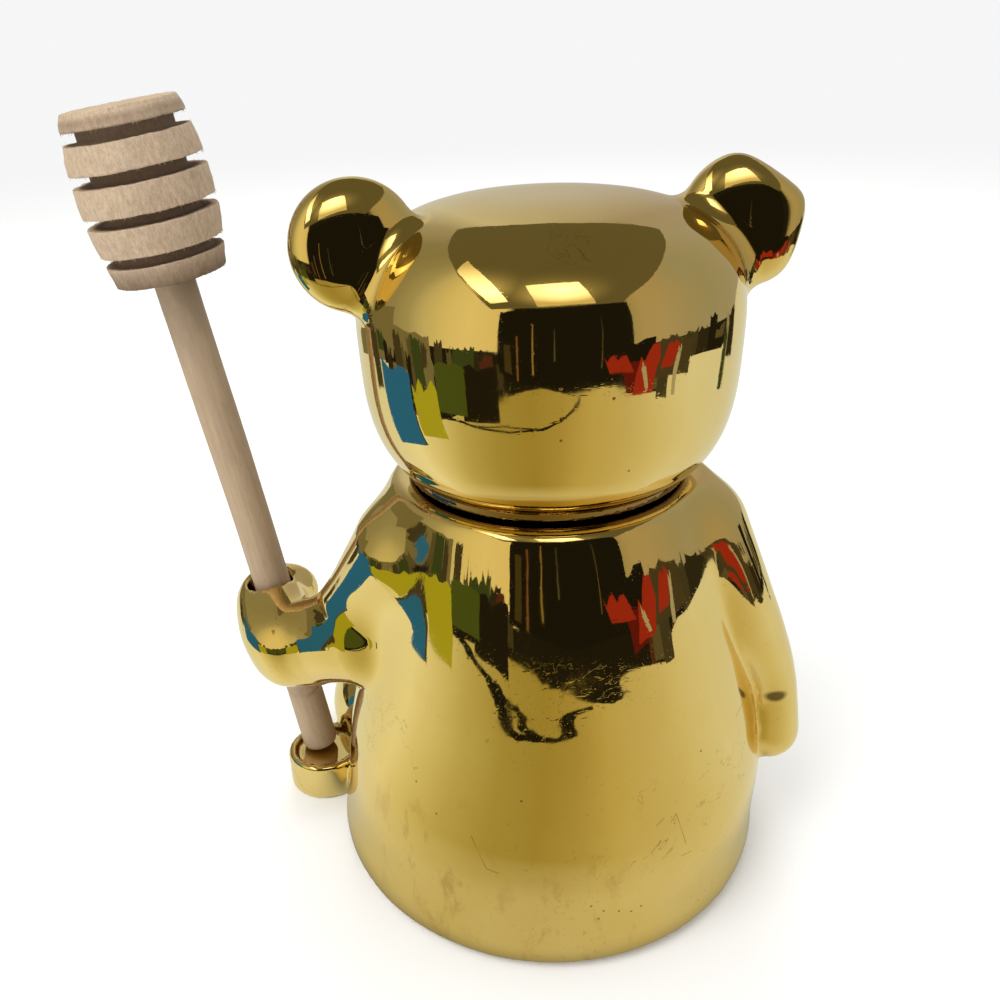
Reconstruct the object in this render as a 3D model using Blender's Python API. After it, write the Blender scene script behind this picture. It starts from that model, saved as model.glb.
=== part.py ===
"""Bear-shaped honey pot: a ceramic pot, its lift-off head lid and a wooden honey dipper.

Metres, +Z up. The pot stands on z = 0, the bear faces -Y, its left paw (with the dipper) is at +X.
"""
import math

import bmesh
import bpy
from mathutils import Euler, Matrix, Vector

# ---------------------------------------------------------------- driving dimensions (metres)
CLEAR = 0.0003            # gap between pieces that touch

# pot
POT_TOP = 0.0904          # plane of the rim
NECK_Y = 0.0038           # the neck axis lies this far behind the middle of the base
POT_RADII = ((-0.0030, 0.0402), (0.0, 0.0434), (0.0030, 0.0466), (0.0080, 0.0476), (0.0200, 0.0470),
             (0.0340, 0.0454), (0.0500, 0.0414), (0.0680, 0.0377), (0.0800, 0.0346), (0.0862, 0.0325),
             (0.0900, 0.0303), (0.0925, 0.0282))
POT_DEPTH_RATIO = 1.06    # front-to-back over side-to-side at the base, 1.0 at the neck
WALL = 0.0048
FLOOR_Z = 0.0062
NECK_BORE = 0.0225
NECK_BORE_BOTTOM = 0.0800

# lid
LID_LIP_Z = 0.0918        # lower edge of the head's outer skin
SEAT_RADIUS = 0.0258
FLANGE_OUTER = 0.0217
FLANGE_INNER = 0.0185
FLANGE_BOTTOM = 0.0842
HEAD_CENTRE = Vector((0.0, 0.0071, 0.11675))
HEAD_RX, HEAD_RY = 0.0356, 0.0337
HEAD_UP, HEAD_DOWN = 0.0269, 0.0294
HEAD_POWER = 3.09         # squareness of the head's profile
HEAD_FLARE = 0.03         # the head widens slightly upwards
HEAD_WALL = 0.0045
EAR_CENTRE = Vector((0.0350, 0.0115, 0.1375))
EAR_RADII = (0.0120, 0.0064, 0.0120)
EAR_TURN = (6.0, 2.9, 10.0)

# dipper
DIPPER_TIP = Vector((0.05274, -0.0222, 0.0086))
DIPPER_AXIS = Vector((0.1405, 0.0, 0.9901)).normalized()
HANDLE_RADIUS = 0.00415
HEAD_BASE_S = 0.1203      # distance from the tip to the underside of the dipper's head
DIPPER_LENGTH = 0.1527
SOCKET_DEPTH = 0.0180
RINGS = ((0.0000, 0.0043), (0.0061, 0.0118), (0.0136, 0.0193), (0.0214, 0.0268), (0.0289, 0.0324))
RING_WIDEST = 0.0130      # radius of the dipper's head at its middle
RING_MIDDLE = 0.0165
RING_CURVE = 8.1          # the rings' radius falls off with the square of the distance from the middle
GROOVE_RADIUS = 0.0092
PAW_HOLE_RADIUS = 0.0049
CUP_CENTRE = Vector((0.0517, -0.0197, 0.0))
CUP_RADIUS = 0.0092
CUP_HEIGHT = 0.0096
DISH_RADIUS = 0.0072
DISH_FLOOR = 0.0079

STEPS = 36                # sides of turned pieces


# ---------------------------------------------------------------- helpers
def material(name, colour, roughness, metallic):
    mat = bpy.data.materials.new(name)
    mat.use_nodes = True
    shader = mat.node_tree.nodes["Principled BSDF"]
    shader.inputs["Base Color"].default_value = (*colour, 1.0)
    shader.inputs["Roughness"].default_value = roughness
    shader.inputs["Metallic"].default_value = metallic
    return mat


def add_object(name, bm, mat=None):
    bmesh.ops.recalc_face_normals(bm, faces=bm.faces)
    mesh = bpy.data.meshes.new(name)
    bm.to_mesh(mesh)
    bm.free()
    mesh.shade_smooth()
    obj = bpy.data.objects.new(name, mesh)
    if mat is not None:
        mesh.materials.append(mat)
    bpy.context.scene.collection.objects.link(obj)
    return obj


def as_cutter(obj):
    obj.hide_render = True
    obj.display_type = 'WIRE'
    return obj


def spline(table, z):
    """Smooth curve through a table of (z, value), Catmull-Rom between neighbours."""
    zs = [row[0] for row in table]
    vs = [row[1] for row in table]
    if z <= zs[0]:
        return vs[0]
    if z >= zs[-1]:
        return vs[-1]
    i = max(k for k in range(len(zs) - 1) if zs[k] <= z)

    def slope(k):
        if k == 0:
            return (vs[1] - vs[0]) / (zs[1] - zs[0])
        if k == len(zs) - 1:
            return (vs[-1] - vs[-2]) / (zs[-1] - zs[-2])
        return (vs[k + 1] - vs[k - 1]) / (zs[k + 1] - zs[k - 1])

    h = zs[i + 1] - zs[i]
    t = (z - zs[i]) / h
    a, b = slope(i) * h, slope(i + 1) * h
    return ((2 * t ** 3 - 3 * t ** 2 + 1) * vs[i] + (t ** 3 - 2 * t ** 2 + t) * a
            + (-2 * t ** 3 + 3 * t ** 2) * vs[i + 1] + (t ** 3 - t ** 2) * b)


def loft(bm, rings, sides):
    """Closed skin through horizontal ellipses (z, rx, ry, centre x, centre y)."""
    loops = []
    for z, rx, ry, cx, cy in rings:
        loops.append([bm.verts.new((cx + rx * math.cos(2 * math.pi * k / sides),
                                    cy + ry * math.sin(2 * math.pi * k / sides), z)) for k in range(sides)])
    for low, high in zip(loops, loops[1:]):
        for k in range(sides):
            n = (k + 1) % sides
            bm.faces.new((low[k], low[n], high[n], high[k]))
    for loop, ring in ((loops[0], rings[0]), (loops[-1], rings[-1])):
        pole = bm.verts.new((ring[3], ring[4], ring[0]))
        for k in range(sides):
            bm.faces.new((loop[k], loop[(k + 1) % sides], pole))


def ball(bm, centre, radii, turn=(0.0, 0.0, 0.0), segments=32, rings=20):
    rotation = Euler([math.radians(a) for a in turn], 'XYZ').to_matrix().to_4x4()
    matrix = Matrix.Translation(centre) @ rotation @ Matrix.Diagonal((*radii, 1.0))
    bmesh.ops.create_uvsphere(bm, u_segments=segments, v_segments=rings, radius=1.0, matrix=matrix)


def limb(bm, stations):
    """Rounded limb: a ball at each station and a cone between neighbours."""
    for centre, radius in stations:
        ball(bm, Vector(centre), (radius,) * 3)
    for (a, ra), (b, rb) in zip(stations, stations[1:]):
        a, b = Vector(a), Vector(b)
        way = b - a
        turn = way.to_track_quat('Z', 'Y').to_matrix().to_4x4()
        bmesh.ops.create_cone(bm, cap_ends=True, segments=32, radius1=ra, radius2=rb, depth=way.length,
                              matrix=Matrix.Translation((a + b) / 2) @ turn)


def turned(name, profile, steps=STEPS, mat=None):
    """Solid of revolution about local Z; the profile (radius, z) runs from the top axis point down."""
    bm = bmesh.new()
    points = [bm.verts.new((max(r, 0.0), 0.0, z)) for r, z in profile]
    for a, b in zip(points, points[1:]):
        bm.edges.new((a, b))
    bmesh.ops.spin(bm, geom=bm.verts[:] + bm.edges[:], cent=(0, 0, 0), axis=(0, 0, 1),
                   angle=2 * math.pi, steps=steps, use_merge=True)
    bmesh.ops.remove_doubles(bm, verts=bm.verts, dist=1e-6)
    bmesh.ops.holes_fill(bm, edges=[e for e in bm.edges if e.is_boundary], sides=0)
    return add_object(name, bm, mat)


def fuse(obj, voxel, rounds, ratio):
    """Melt overlapping lumps into one skin, soften the joins, thin the mesh."""
    remesh = obj.modifiers.new("melt", 'REMESH')
    remesh.mode = 'VOXEL'
    remesh.voxel_size = voxel
    remesh.use_smooth_shade = True
    smooth = obj.modifiers.new("soften", 'SMOOTH')
    smooth.factor = 0.5
    smooth.iterations = rounds
    thin = obj.modifiers.new("thin", 'DECIMATE')
    thin.ratio = ratio


def boolean(obj, other, operation):
    mod = obj.modifiers.new(operation.lower() + "_" + other.name, 'BOOLEAN')
    mod.operation = operation
    mod.solver = 'EXACT'
    mod.object = other
    as_cutter(other)


def box(name, low, high):
    bm = bmesh.new()
    size = [h - l for l, h in zip(low, high)]
    mid = [(h + l) / 2 for l, h in zip(low, high)]
    bmesh.ops.create_cube(bm, size=1.0, matrix=Matrix.Translation(mid) @ Matrix.Diagonal((*size, 1.0)))
    return add_object(name, bm)


# ---------------------------------------------------------------- pot
def pot_ring(z, inset=0.0):
    radius = spline(POT_RADII, z) - inset
    share = min(max(z / POT_TOP, 0.0), 1.0)
    ratio = POT_DEPTH_RATIO + (1.0 - POT_DEPTH_RATIO) * share
    lean = (0.0005 - 0.0093 * share) * (1.0 - share)      # the middle of the pot sits a little to its right
    return (z, radius, radius * ratio, lean, NECK_Y * share - 0.0008 * (1.0 - share))


def make_pot(gold):
    bm = bmesh.new()
    heights = [-0.003, -0.0015, 0.0, 0.0015, 0.003, 0.006]
    heights += [0.012 + 0.006 * k for k in range(12)] + [0.082, 0.0855, 0.0885, 0.0905, 0.0925]
    loft(bm, [pot_ring(z) for z in heights], 64)

    # left arm, raised outwards to hold the dipper
    limb(bm, (((0.0296, 0.0045, 0.0738), 0.0114), ((0.0506, -0.0087, 0.0436), 0.0060)))
    limb(bm, (((0.0388, 0.0009, 0.0519), 0.0097), ((0.0480, -0.0070, 0.0486), 0.0088)))
    # left paw, curled round the dipper's handle
    ball(bm, Vector((0.0586, -0.0182, 0.0466)), (0.0094, 0.0160, 0.0112), (-9.0, 12.5, 5.8))
    ball(bm, Vector((0.0556, -0.0272, 0.0504)), (0.0066, 0.0052, 0.0064))

    # right arm, hanging at the side
    limb(bm, (((-0.0261, 0.0162, 0.0780), 0.0118), ((-0.0345, 0.0214, 0.0620), 0.0088),
              ((-0.0426, 0.0218, 0.0460), 0.0064), ((-0.0442, 0.0224, 0.0312), 0.0072)))

    # legs, pointing forwards
    for side in (1, -1):
        ball(bm, Vector((side * 0.0335, -0.0350, 0.0110)), (0.0150, 0.0190, 0.0140), (0.0, 0.0, -side * 12.0))
        ball(bm, Vector((side * 0.0365, -0.0475, 0.0125)), (0.0118, 0.0085, 0.0132), (-8.0, 0.0, -side * 12.0))
    # cup beside the left foot
    bmesh.ops.create_cone(bm, cap_ends=True, segments=40, radius1=CUP_RADIUS, radius2=CUP_RADIUS,
                          depth=CUP_HEIGHT + 0.003,
                          matrix=Matrix.Translation(CUP_CENTRE + Vector((0, 0, (CUP_HEIGHT - 0.003) / 2))))
    pot = add_object("pot_body", bm, gold)
    fuse(pot, 0.0014, 6, 0.060)

    # level underside and rim
    boolean(pot, box("cut_ground", (-0.09, -0.09, -0.03), (0.09, 0.09, 0.0)), 'DIFFERENCE')
    boolean(pot, box("cut_rim", (-0.06, -0.06, POT_TOP), (0.06, 0.07, POT_TOP + 0.02)), 'DIFFERENCE')

    # room for the honey
    bm = bmesh.new()
    rings = []
    top = NECK_BORE_BOTTOM - 0.0015
    count = 13
    for k in range(count):
        z = FLOOR_Z + (top - FLOOR_Z) * k / (count - 1)
        _, rx, ry, cx, cy = pot_ring(z, WALL)
        lift = (z - FLOOR_Z) / 0.010
        if lift < 1.0:                         # rounded corner at the floor
            pull = 0.0075 * (1.0 - math.sqrt(1.0 - (1.0 - lift) ** 2))
            rx, ry = rx - pull, ry - pull
        drop = (top - z) / 0.012
        if drop < 1.0:                         # shoulder closing in to the neck
            pull = (rx - NECK_BORE + 0.001) * (1.0 - math.sqrt(1.0 - (1.0 - drop) ** 2))
            rx, ry = rx - pull, ry - pull
        rings.append((z, rx, ry, cx, cy))
    loft(bm, rings, 32)
    boolean(pot, add_object("cut_cavity", bm), 'DIFFERENCE')
    bore = turned("cut_neck", ((0.0, 0.02), (NECK_BORE, 0.02), (NECK_BORE, -0.0145), (0.0, -0.0145)))
    bore.location = (0.0, NECK_Y, POT_TOP)
    boolean(pot, bore, 'DIFFERENCE')

    # hole through the paw, flared at both ends
    mouth = PAW_HOLE_RADIUS + 0.0022
    hole = turned("cut_paw_hole", ((0.0, 0.0330), (mouth, 0.0330), (mouth - 0.0006, 0.0140),
                                   (PAW_HOLE_RADIUS, 0.0095), (PAW_HOLE_RADIUS, -0.0080),
                                   (mouth - 0.0010, -0.0120), (mouth, -0.0300), (0.0, -0.0300)), steps=24)
    hole.matrix_world = axis_frame(0.0383)
    boolean(pot, hole, 'DIFFERENCE')

    # dish in the cup where the dipper's end stands
    dish = turned("cut_dish", ((0.0, CUP_HEIGHT + 0.004), (DISH_RADIUS, CUP_HEIGHT + 0.004),
                               (DISH_RADIUS, DISH_FLOOR + 0.0008), (DISH_RADIUS - 0.0008, DISH_FLOOR),
                               (0.0, DISH_FLOOR)), steps=28)
    dish.location = CUP_CENTRE
    boolean(pot, dish, 'DIFFERENCE')
    return pot


# ---------------------------------------------------------------- lid
def head_ring(z, inset=0.0):
    up = z - HEAD_CENTRE.z
    reach = (HEAD_UP if up > 0 else HEAD_DOWN) - inset
    share = min(abs(up) / reach, 1.0)
    width = (1.0 - share ** HEAD_POWER) ** (1.0 / HEAD_POWER)
    flare = 1.0 + HEAD_FLARE * up / HEAD_UP
    return (z, max((HEAD_RX - inset) * width * flare, 0.0004), max((HEAD_RY - inset) * width * flare, 0.0004),
            0.0, HEAD_CENTRE.y)


def make_lid(gold):
    bm = bmesh.new()
    rings = []
    for k in range(1, 26):
        angle = math.pi * k / 26 - math.pi / 2
        reach = HEAD_UP if angle > 0 else HEAD_DOWN
        z = HEAD_CENTRE.z + reach * math.copysign(abs(math.sin(angle)) ** (2 / HEAD_POWER), math.sin(angle))
        rings.append(head_ring(z))
    loft(bm, rings, 64)
    for side in (1, -1):
        ball(bm, Vector((side * EAR_CENTRE.x, EAR_CENTRE.y, EAR_CENTRE.z)), EAR_RADII,
             (EAR_TURN[0], side * EAR_TURN[1], side * EAR_TURN[2]))
    # face: muzzle, nose, eyes
    ball(bm, Vector((0.0, -0.0232, 0.1070)), (0.0150, 0.0135, 0.0112))
    ball(bm, Vector((0.0, -0.0350, 0.1112)), (0.0062, 0.0042, 0.0044))
    for side in (1, -1):
        ball(bm, Vector((side * 0.0132, -0.0252, 0.1230)), (0.0038, 0.0038, 0.0042))
    lid = add_object("head_lid", bm, gold)
    fuse(lid, 0.0014, 5, 0.085)

    boolean(lid, box("cut_lid_lip", (-0.06, -0.06, 0.06), (0.06, 0.07, LID_LIP_Z)), 'DIFFERENCE')
    seat = turned("join_seat", ((FLANGE_INNER + 0.0010, 0.0050), (SEAT_RADIUS - 0.0020, 0.0050),
                                (SEAT_RADIUS, 0.0010), (SEAT_RADIUS - 0.0004, CLEAR),
                                (FLANGE_OUTER, CLEAR), (FLANGE_OUTER, FLANGE_BOTTOM - POT_TOP + 0.0006),
                                (FLANGE_OUTER - 0.0006, FLANGE_BOTTOM - POT_TOP),
                                (FLANGE_INNER, FLANGE_BOTTOM - POT_TOP), (FLANGE_INNER, -0.0010),
                                (FLANGE_INNER + 0.0010, 0.0050)))
    seat.location = (0.0, NECK_Y, POT_TOP)
    boolean(lid, seat, 'UNION')

    # hollow of the head, open through the flange
    bm = bmesh.new()
    rings = []
    low, high = LID_LIP_Z + HEAD_WALL, HEAD_CENTRE.z + HEAD_UP - HEAD_WALL
    for k in range(13):
        z = low + (high - low) * k / 12
        up = (z - HEAD_CENTRE.z) / (HEAD_UP - HEAD_WALL)
        down = (HEAD_CENTRE.z - z) / (HEAD_CENTRE.z - low + 0.0015)
        share = max(up, down)
        width = max(1.0 - share ** 2.6, 0.0) ** (1 / 2.6)
        radius = 0.0008 + 0.0288 * width
        rings.append((z, radius, radius * 0.95, 0.0, HEAD_CENTRE.y - 0.001))
    loft(bm, rings, 32)
    boolean(lid, add_object("cut_head_hollow", bm), 'DIFFERENCE')
    throat = turned("cut_throat", ((0.0, 0.0200), (FLANGE_INNER, 0.0200), (FLANGE_INNER, -0.0200), (0.0, -0.0200)))
    throat.location = (0.0, NECK_Y, POT_TOP)
    boolean(lid, throat, 'DIFFERENCE')
    return lid


# ---------------------------------------------------------------- dipper
def axis_frame(s):
    """World matrix of a frame on the dipper's axis, s metres up from its tip, local Z along it."""
    turn = DIPPER_AXIS.to_track_quat('Z', 'Y').to_matrix().to_4x4()
    return Matrix.Translation(DIPPER_TIP + DIPPER_AXIS * s) @ turn


def make_dipper(pale_wood, dark_wood, carrier):
    head_length = DIPPER_LENGTH - HEAD_BASE_S
    profile = [(0.0, head_length)]
    edge = 0.0007
    for k, (low, high) in enumerate(reversed(RINGS)):
        top, bottom = (RING_WIDEST - RING_CURVE * (h - RING_MIDDLE) ** 2 for h in (high, low))
        profile += [(top - edge, high), (top, high - edge), (bottom, low + edge), (bottom - edge, low)]
        if k < len(RINGS) - 1:
            profile += [(GROOVE_RADIUS, low), (GROOVE_RADIUS, RINGS[-k - 2][1])]
    bore = HANDLE_RADIUS + CLEAR
    profile += [(bore, 0.0), (bore, SOCKET_DEPTH), (0.0, SOCKET_DEPTH)]
    head = turned("dipper_head", profile, 28, pale_wood)
    handle = turned("dipper_handle", (
        (0.0, HEAD_BASE_S + SOCKET_DEPTH - CLEAR), (HANDLE_RADIUS - 0.0006, HEAD_BASE_S + SOCKET_DEPTH - CLEAR),
        (HANDLE_RADIUS, HEAD_BASE_S + SOCKET_DEPTH - CLEAR - 0.0006), (HANDLE_RADIUS, 0.0180),
        (HANDLE_RADIUS - 0.0004, 0.0176), (HANDLE_RADIUS, 0.0172), (HANDLE_RADIUS, 0.0012),
        (HANDLE_RADIUS - 0.0012, 0.0), (0.0, 0.0)), 24, dark_wood)
    carrier.matrix_world = axis_frame(0.0)
    for piece, s in ((head, HEAD_BASE_S), (handle, 0.0)):
        piece.parent = carrier
        piece.location = (0.0, 0.0, s)
    return head, handle


def main():
    for obj in list(bpy.data.objects):
        bpy.data.objects.remove(obj, do_unlink=True)
    gold = material("gold_lustre", (0.78, 0.58, 0.22), 0.06, 1.0)
    pale_wood = material("pale_beech", (0.70, 0.52, 0.36), 0.75, 0.0)
    dark_wood = material("smooth_dowel", (0.58, 0.42, 0.30), 0.60, 0.0)

    make_pot(gold)
    lid = make_lid(gold)
    lid_axis = bpy.data.objects.new("lid_axis", None)
    lid_axis.location = (0.0, NECK_Y, POT_TOP)
    bpy.context.scene.collection.objects.link(lid_axis)
    lid.parent = lid_axis
    lid.location = (0.0, -NECK_Y, -POT_TOP)
    dipper_axis = bpy.data.objects.new("dipper_axis", None)
    bpy.context.scene.collection.objects.link(dipper_axis)
    make_dipper(pale_wood, dark_wood, dipper_axis)


main()
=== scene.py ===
import math

import bmesh
import bpy
import numpy as np
from mathutils import Matrix, Vector


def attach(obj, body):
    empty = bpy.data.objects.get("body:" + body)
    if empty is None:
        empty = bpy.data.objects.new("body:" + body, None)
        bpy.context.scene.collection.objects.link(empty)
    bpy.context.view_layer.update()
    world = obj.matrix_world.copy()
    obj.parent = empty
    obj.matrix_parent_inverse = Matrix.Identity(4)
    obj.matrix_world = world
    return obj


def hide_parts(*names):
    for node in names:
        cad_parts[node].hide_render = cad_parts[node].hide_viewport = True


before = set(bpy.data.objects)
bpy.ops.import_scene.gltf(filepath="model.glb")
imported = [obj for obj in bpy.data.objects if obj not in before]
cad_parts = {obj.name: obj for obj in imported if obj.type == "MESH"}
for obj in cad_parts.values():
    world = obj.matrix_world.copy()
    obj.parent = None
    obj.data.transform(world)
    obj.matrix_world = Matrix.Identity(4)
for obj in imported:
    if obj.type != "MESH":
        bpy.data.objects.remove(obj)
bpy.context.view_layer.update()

MM = 0.001

# ------------------------------------------------------------------------------------------------
# Distance fields, in millimetres, in the frame of the CAD: the bear faces -Y and holds the dipper at +X.
# ------------------------------------------------------------------------------------------------


def smin(a, b, k):
    """Union of two fields with a fillet about k wide."""
    h = np.maximum(k - np.abs(a - b), 0.0) / k
    return np.minimum(a, b) - h * h * h * k / 6.0


def smax(a, b, k):
    return -smin(-a, -b, k)


def round_union(a, b, r):
    """Union with a circular fillet of radius r."""
    return np.maximum(r, np.minimum(a, b)) - np.hypot(np.maximum(r - a, 0.0), np.maximum(r - b, 0.0))


def turn_matrix(ax, ay, az):
    ax, ay, az = np.radians([ax, ay, az])
    cx, sx, cy, sy, cz, sz = np.cos(ax), np.sin(ax), np.cos(ay), np.sin(ay), np.cos(az), np.sin(az)
    x = np.array([[1, 0, 0], [0, cx, -sx], [0, sx, cx]])
    y = np.array([[cy, 0, sy], [0, 1, 0], [-sy, 0, cy]])
    z = np.array([[cz, -sz, 0], [sz, cz, 0], [0, 0, 1]])
    return z @ y @ x


def ellipsoid(p, centre, radii, turn=None, power=2.0):
    q = p - np.asarray(centre, float)
    if turn is not None:
        q = q @ turn_matrix(*turn)
    r = np.asarray(radii, float)
    if power == 2.0:
        k0 = np.sqrt(((q / r) ** 2).sum(-1))
        k1 = np.sqrt(((q / (r * r)) ** 2).sum(-1)) + 1e-9
        return k0 * (k0 - 1.0) / k1
    a = np.abs(q) / r
    s = (a ** power).sum(-1)
    g = s ** (1.0 / power)
    slope = (a ** (power - 1)) / r
    size = np.sqrt((slope ** 2).sum(-1)) * (s + 1e-12) ** (1.0 / power - 1) + 1e-9
    return (g - 1.0) * np.where(g > 0.05, 1.0 / size, r.min())


def cone(p, a, b, ra, rb):
    """Rounded limb from a to b."""
    a = np.asarray(a, float)
    b = np.asarray(b, float)
    ab = b - a
    t = np.clip(((p - a) @ ab) / (ab @ ab), 0, 1)
    return np.sqrt(((p - a - t[..., None] * ab) ** 2).sum(-1)) - (ra + t * (rb - ra))


def tube(p, origin, axis, radius):
    q = p - origin
    along = q @ axis
    return np.sqrt(np.maximum((q * q).sum(-1) - along * along, 0.0)) - radius, along


class Curve:
    """Natural cubic spline through (x, y)."""

    def __init__(self, x, y):
        self.x, self.y = np.asarray(x, float), np.asarray(y, float)
        n = len(x)
        h = np.diff(self.x)
        m = np.zeros((n, n))
        r = np.zeros(n)
        m[0, 0] = m[-1, -1] = 1.0
        for i in range(1, n - 1):
            m[i, i - 1], m[i, i], m[i, i + 1] = h[i - 1], 2 * (h[i - 1] + h[i]), h[i]
            r[i] = 6 * ((self.y[i + 1] - self.y[i]) / h[i] - (self.y[i] - self.y[i - 1]) / h[i - 1])
        self.m = np.linalg.solve(m, r)

    def __call__(self, x):
        i = np.clip(np.searchsorted(self.x, x) - 1, 0, len(self.x) - 2)
        h = self.x[i + 1] - self.x[i]
        a = (self.x[i + 1] - x) / h
        b = (x - self.x[i]) / h
        value = (a * self.y[i] + b * self.y[i + 1]
                 + ((a ** 3 - a) * self.m[i] + (b ** 3 - b) * self.m[i + 1]) * h * h / 6)
        slope = ((self.y[i + 1] - self.y[i]) / h
                 + ((1 - 3 * a * a) * self.m[i] + (3 * b * b - 1) * self.m[i + 1]) * h / 6)
        return value, slope


POT_TOP = 90.4
NECK_Y = 3.8
TORSO = Curve([0, 8, 20, 34, 50, 68, 80, 90], [48.9, 47.35, 46.85, 45.35, 41.4, 37.65, 34.52, 30.87])

AXIS = np.array([0.1405, 0.0, 0.9901])
AXIS /= np.linalg.norm(AXIS)
TIP = np.array([52.74, -22.2, 8.6])
GRIP = TIP + AXIS * 38.3
CUP = (51.7, -19.7)


def waviness(p, seed, size=0.02, length=9.0):
    """Slight unevenness of a slip-cast wall."""
    rng = np.random.RandomState(seed)
    out = np.zeros(p.shape[:-1])
    for _ in range(7):
        way = rng.normal(size=3)
        way *= 2 * math.pi / (length * rng.uniform(0.75, 1.9)) / np.linalg.norm(way)
        out += np.sin(p @ way + rng.uniform(0, 2 * math.pi)) * rng.uniform(0.5, 1.0)
    return out * size / 2.0


def torso_side(p, inset=0.0):
    z = np.clip(p[..., 2], -5, 95)
    radius, slope = TORSO(z)
    share = np.clip(p[..., 2] / POT_TOP, 0, 1)
    ratio = 1.057 - 0.057 * share
    across = p[..., 0] - (0.5 - 9.3 * share) * (1 - share)
    back = (p[..., 1] - NECK_Y * share + 0.8 * (1 - share)) / ratio
    rho = np.sqrt(across ** 2 + back ** 2)
    # the middle of the back is a little fuller
    fuller = 0.75 * np.exp(-((p[..., 2] - 50.0) / 14.0) ** 2) * np.clip(back / (rho + 1e-6), 0, 1) ** 2
    return (rho - (radius + fuller - inset)) / np.sqrt(1 + slope * slope)


def limb(p, stations, count=33):
    """Smoothly bent limb; each station is (x, y, z, radius)."""
    stations = np.asarray(stations, float)
    order = np.arange(len(stations))
    at = np.linspace(0, len(stations) - 1, count)
    line = np.stack([Curve(order, stations[:, i])(at)[0] for i in range(4)], 1)
    each = np.stack([np.sqrt(((p - c[:3]) ** 2).sum(-1)) - c[3] for c in line], -1)
    best = np.clip(np.argmin(each, -1), 1, count - 2)
    d0, d1, d2 = (np.take_along_axis(each, (best + k)[..., None], -1)[..., 0] for k in (-1, 0, 1))
    # lowest point of the parabola through the three nearest balls
    bend = np.maximum(d0 - 2 * d1 + d2, 1e-9)
    shift = np.clip((d0 - d2) / (2 * bend), -1, 1)
    return d1 + shift * (d2 - d0) / 2 + shift * shift * bend / 2


def left_arm(p):
    """Raised arm with a mitten paw, cut flat along the upper side of the paw."""
    arm = cone(p, (29.6, 4.5, 73.8), (50.6, -8.7, 43.6), 11.4, 5.7)
    elbow = cone(p, (38.8, 0.9, 51.9), (48.0, -7.0, 48.6), 9.7, 8.8)
    mitt = ellipsoid(p, (58.5, -18.2, 46.8), (8.8, 15.8, 11.4), (-9.0, 12.5, 5.8), 2.3)
    arm = smin(smin(arm, elbow, 9.0), mitt, 7.0)
    upper = (p - np.array([56.7, -10.0, 56.9])) @ np.array([0.325, 0.304, 0.896])
    upper = upper - 30.0 * np.clip((p[..., 2] - 60.0) / 22.0, 0, 1) - 0.13 * np.clip(53.0 - p[..., 0], 0, 30) ** 2
    arm = smax(arm, upper, 3.2)
    # far side of the paw, standing a little higher behind the handle
    lobe = ellipsoid(p, (55.6, -27.2, 50.4), (6.6, 5.2, 6.4))
    return smin(arm, lobe, 4.0)


def right_arm(p):
    """Hanging arm, standing out from the back of the torso."""
    return limb(p, ((-26.1, 16.2, 78.0, 11.8), (-34.5, 21.4, 62.0, 8.6), (-42.6, 21.8, 46.0, 6.1),
                    (-44.0, 22.4, 31.2, 6.8)))


def pot_outside(p):
    z = p[..., 2]
    torso = smax(smax(torso_side(p), z - POT_TOP, 4.0), -z, 8.5)
    high = np.clip((z - 58.0) / 22.0, 0, 1)
    web = np.clip((z - 42.0) / 16.0, 0, 1)
    d = smin(torso, left_arm(p), 4.0 + 7.0 * web * web * (3 - 2 * web))
    d = smin(d, right_arm(p), 1.8 + 5.0 * high ** 2)
    # legs, stretched out in front, with upturned feet
    for side in (1, -1):
        leg = ellipsoid(p, (side * 33.5, -35.0, 11.0), (15.0, 19.0, 14.0), (0, 0, -side * 12.0))
        foot = ellipsoid(p, (side * 36.5, -47.3, 12.9), (11.8, 8.2, 12.9), (-8.0, 0, -side * 12.0), 2.3)
        sole = ellipsoid(p, (side * 38.4, -57.9, 13.6), (7.6, 4.6, 8.6), (-8.0, 0, -side * 12.0))
        leg = smin(leg, foot, 6.0)
        d = smin(d, smax(leg, -sole, 2.5), 6.0)
    # cup beside the left foot
    rim = np.hypot(p[..., 0] - CUP[0], p[..., 1] - CUP[1])
    cup = smax(rim - 9.1, z - 9.5, 2.2)
    d = smin(d, cup, 2.4) + waviness(p, 3)
    d = smax(d, z - POT_TOP, 1.6)
    return smax(d, -z, 1.6)


def pot_field(p):
    d = pot_outside(p)
    # honey room and neck
    z = p[..., 2]
    room = smax(torso_side(p, 4.8), 6.2 - z, 7.0)
    room = smax(room, z - 79.5, 9.0)
    neck = smax(np.hypot(p[..., 0], p[..., 1] - NECK_Y) - 22.5, 70.0 - z, 1.0)
    room = smin(room, neck, 2.0)
    d = smax(d, -room, 1.3)
    # hole through the paw, flared at both ends
    hole, along = tube(p, GRIP, AXIS, 4.9)
    flare = np.maximum(along - 8.0, 0) * 0.12 + np.maximum(-8.0 - along, 0) * 0.10
    hole = smax(hole - np.clip(flare, 0, 1.0), np.abs(along) - 27.0, 1.0)
    d = smax(d, -hole, 1.2)
    # dish in the cup
    rim = np.hypot(p[..., 0] - CUP[0], p[..., 1] - CUP[1])
    dish = smax(rim - 7.2, 7.9 - z, 1.2)
    dish = smax(dish, z - 20.0, 1.0)
    return smax(d, -dish, 1.0)


HEAD = (0.0, 7.12, 116.75)


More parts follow.
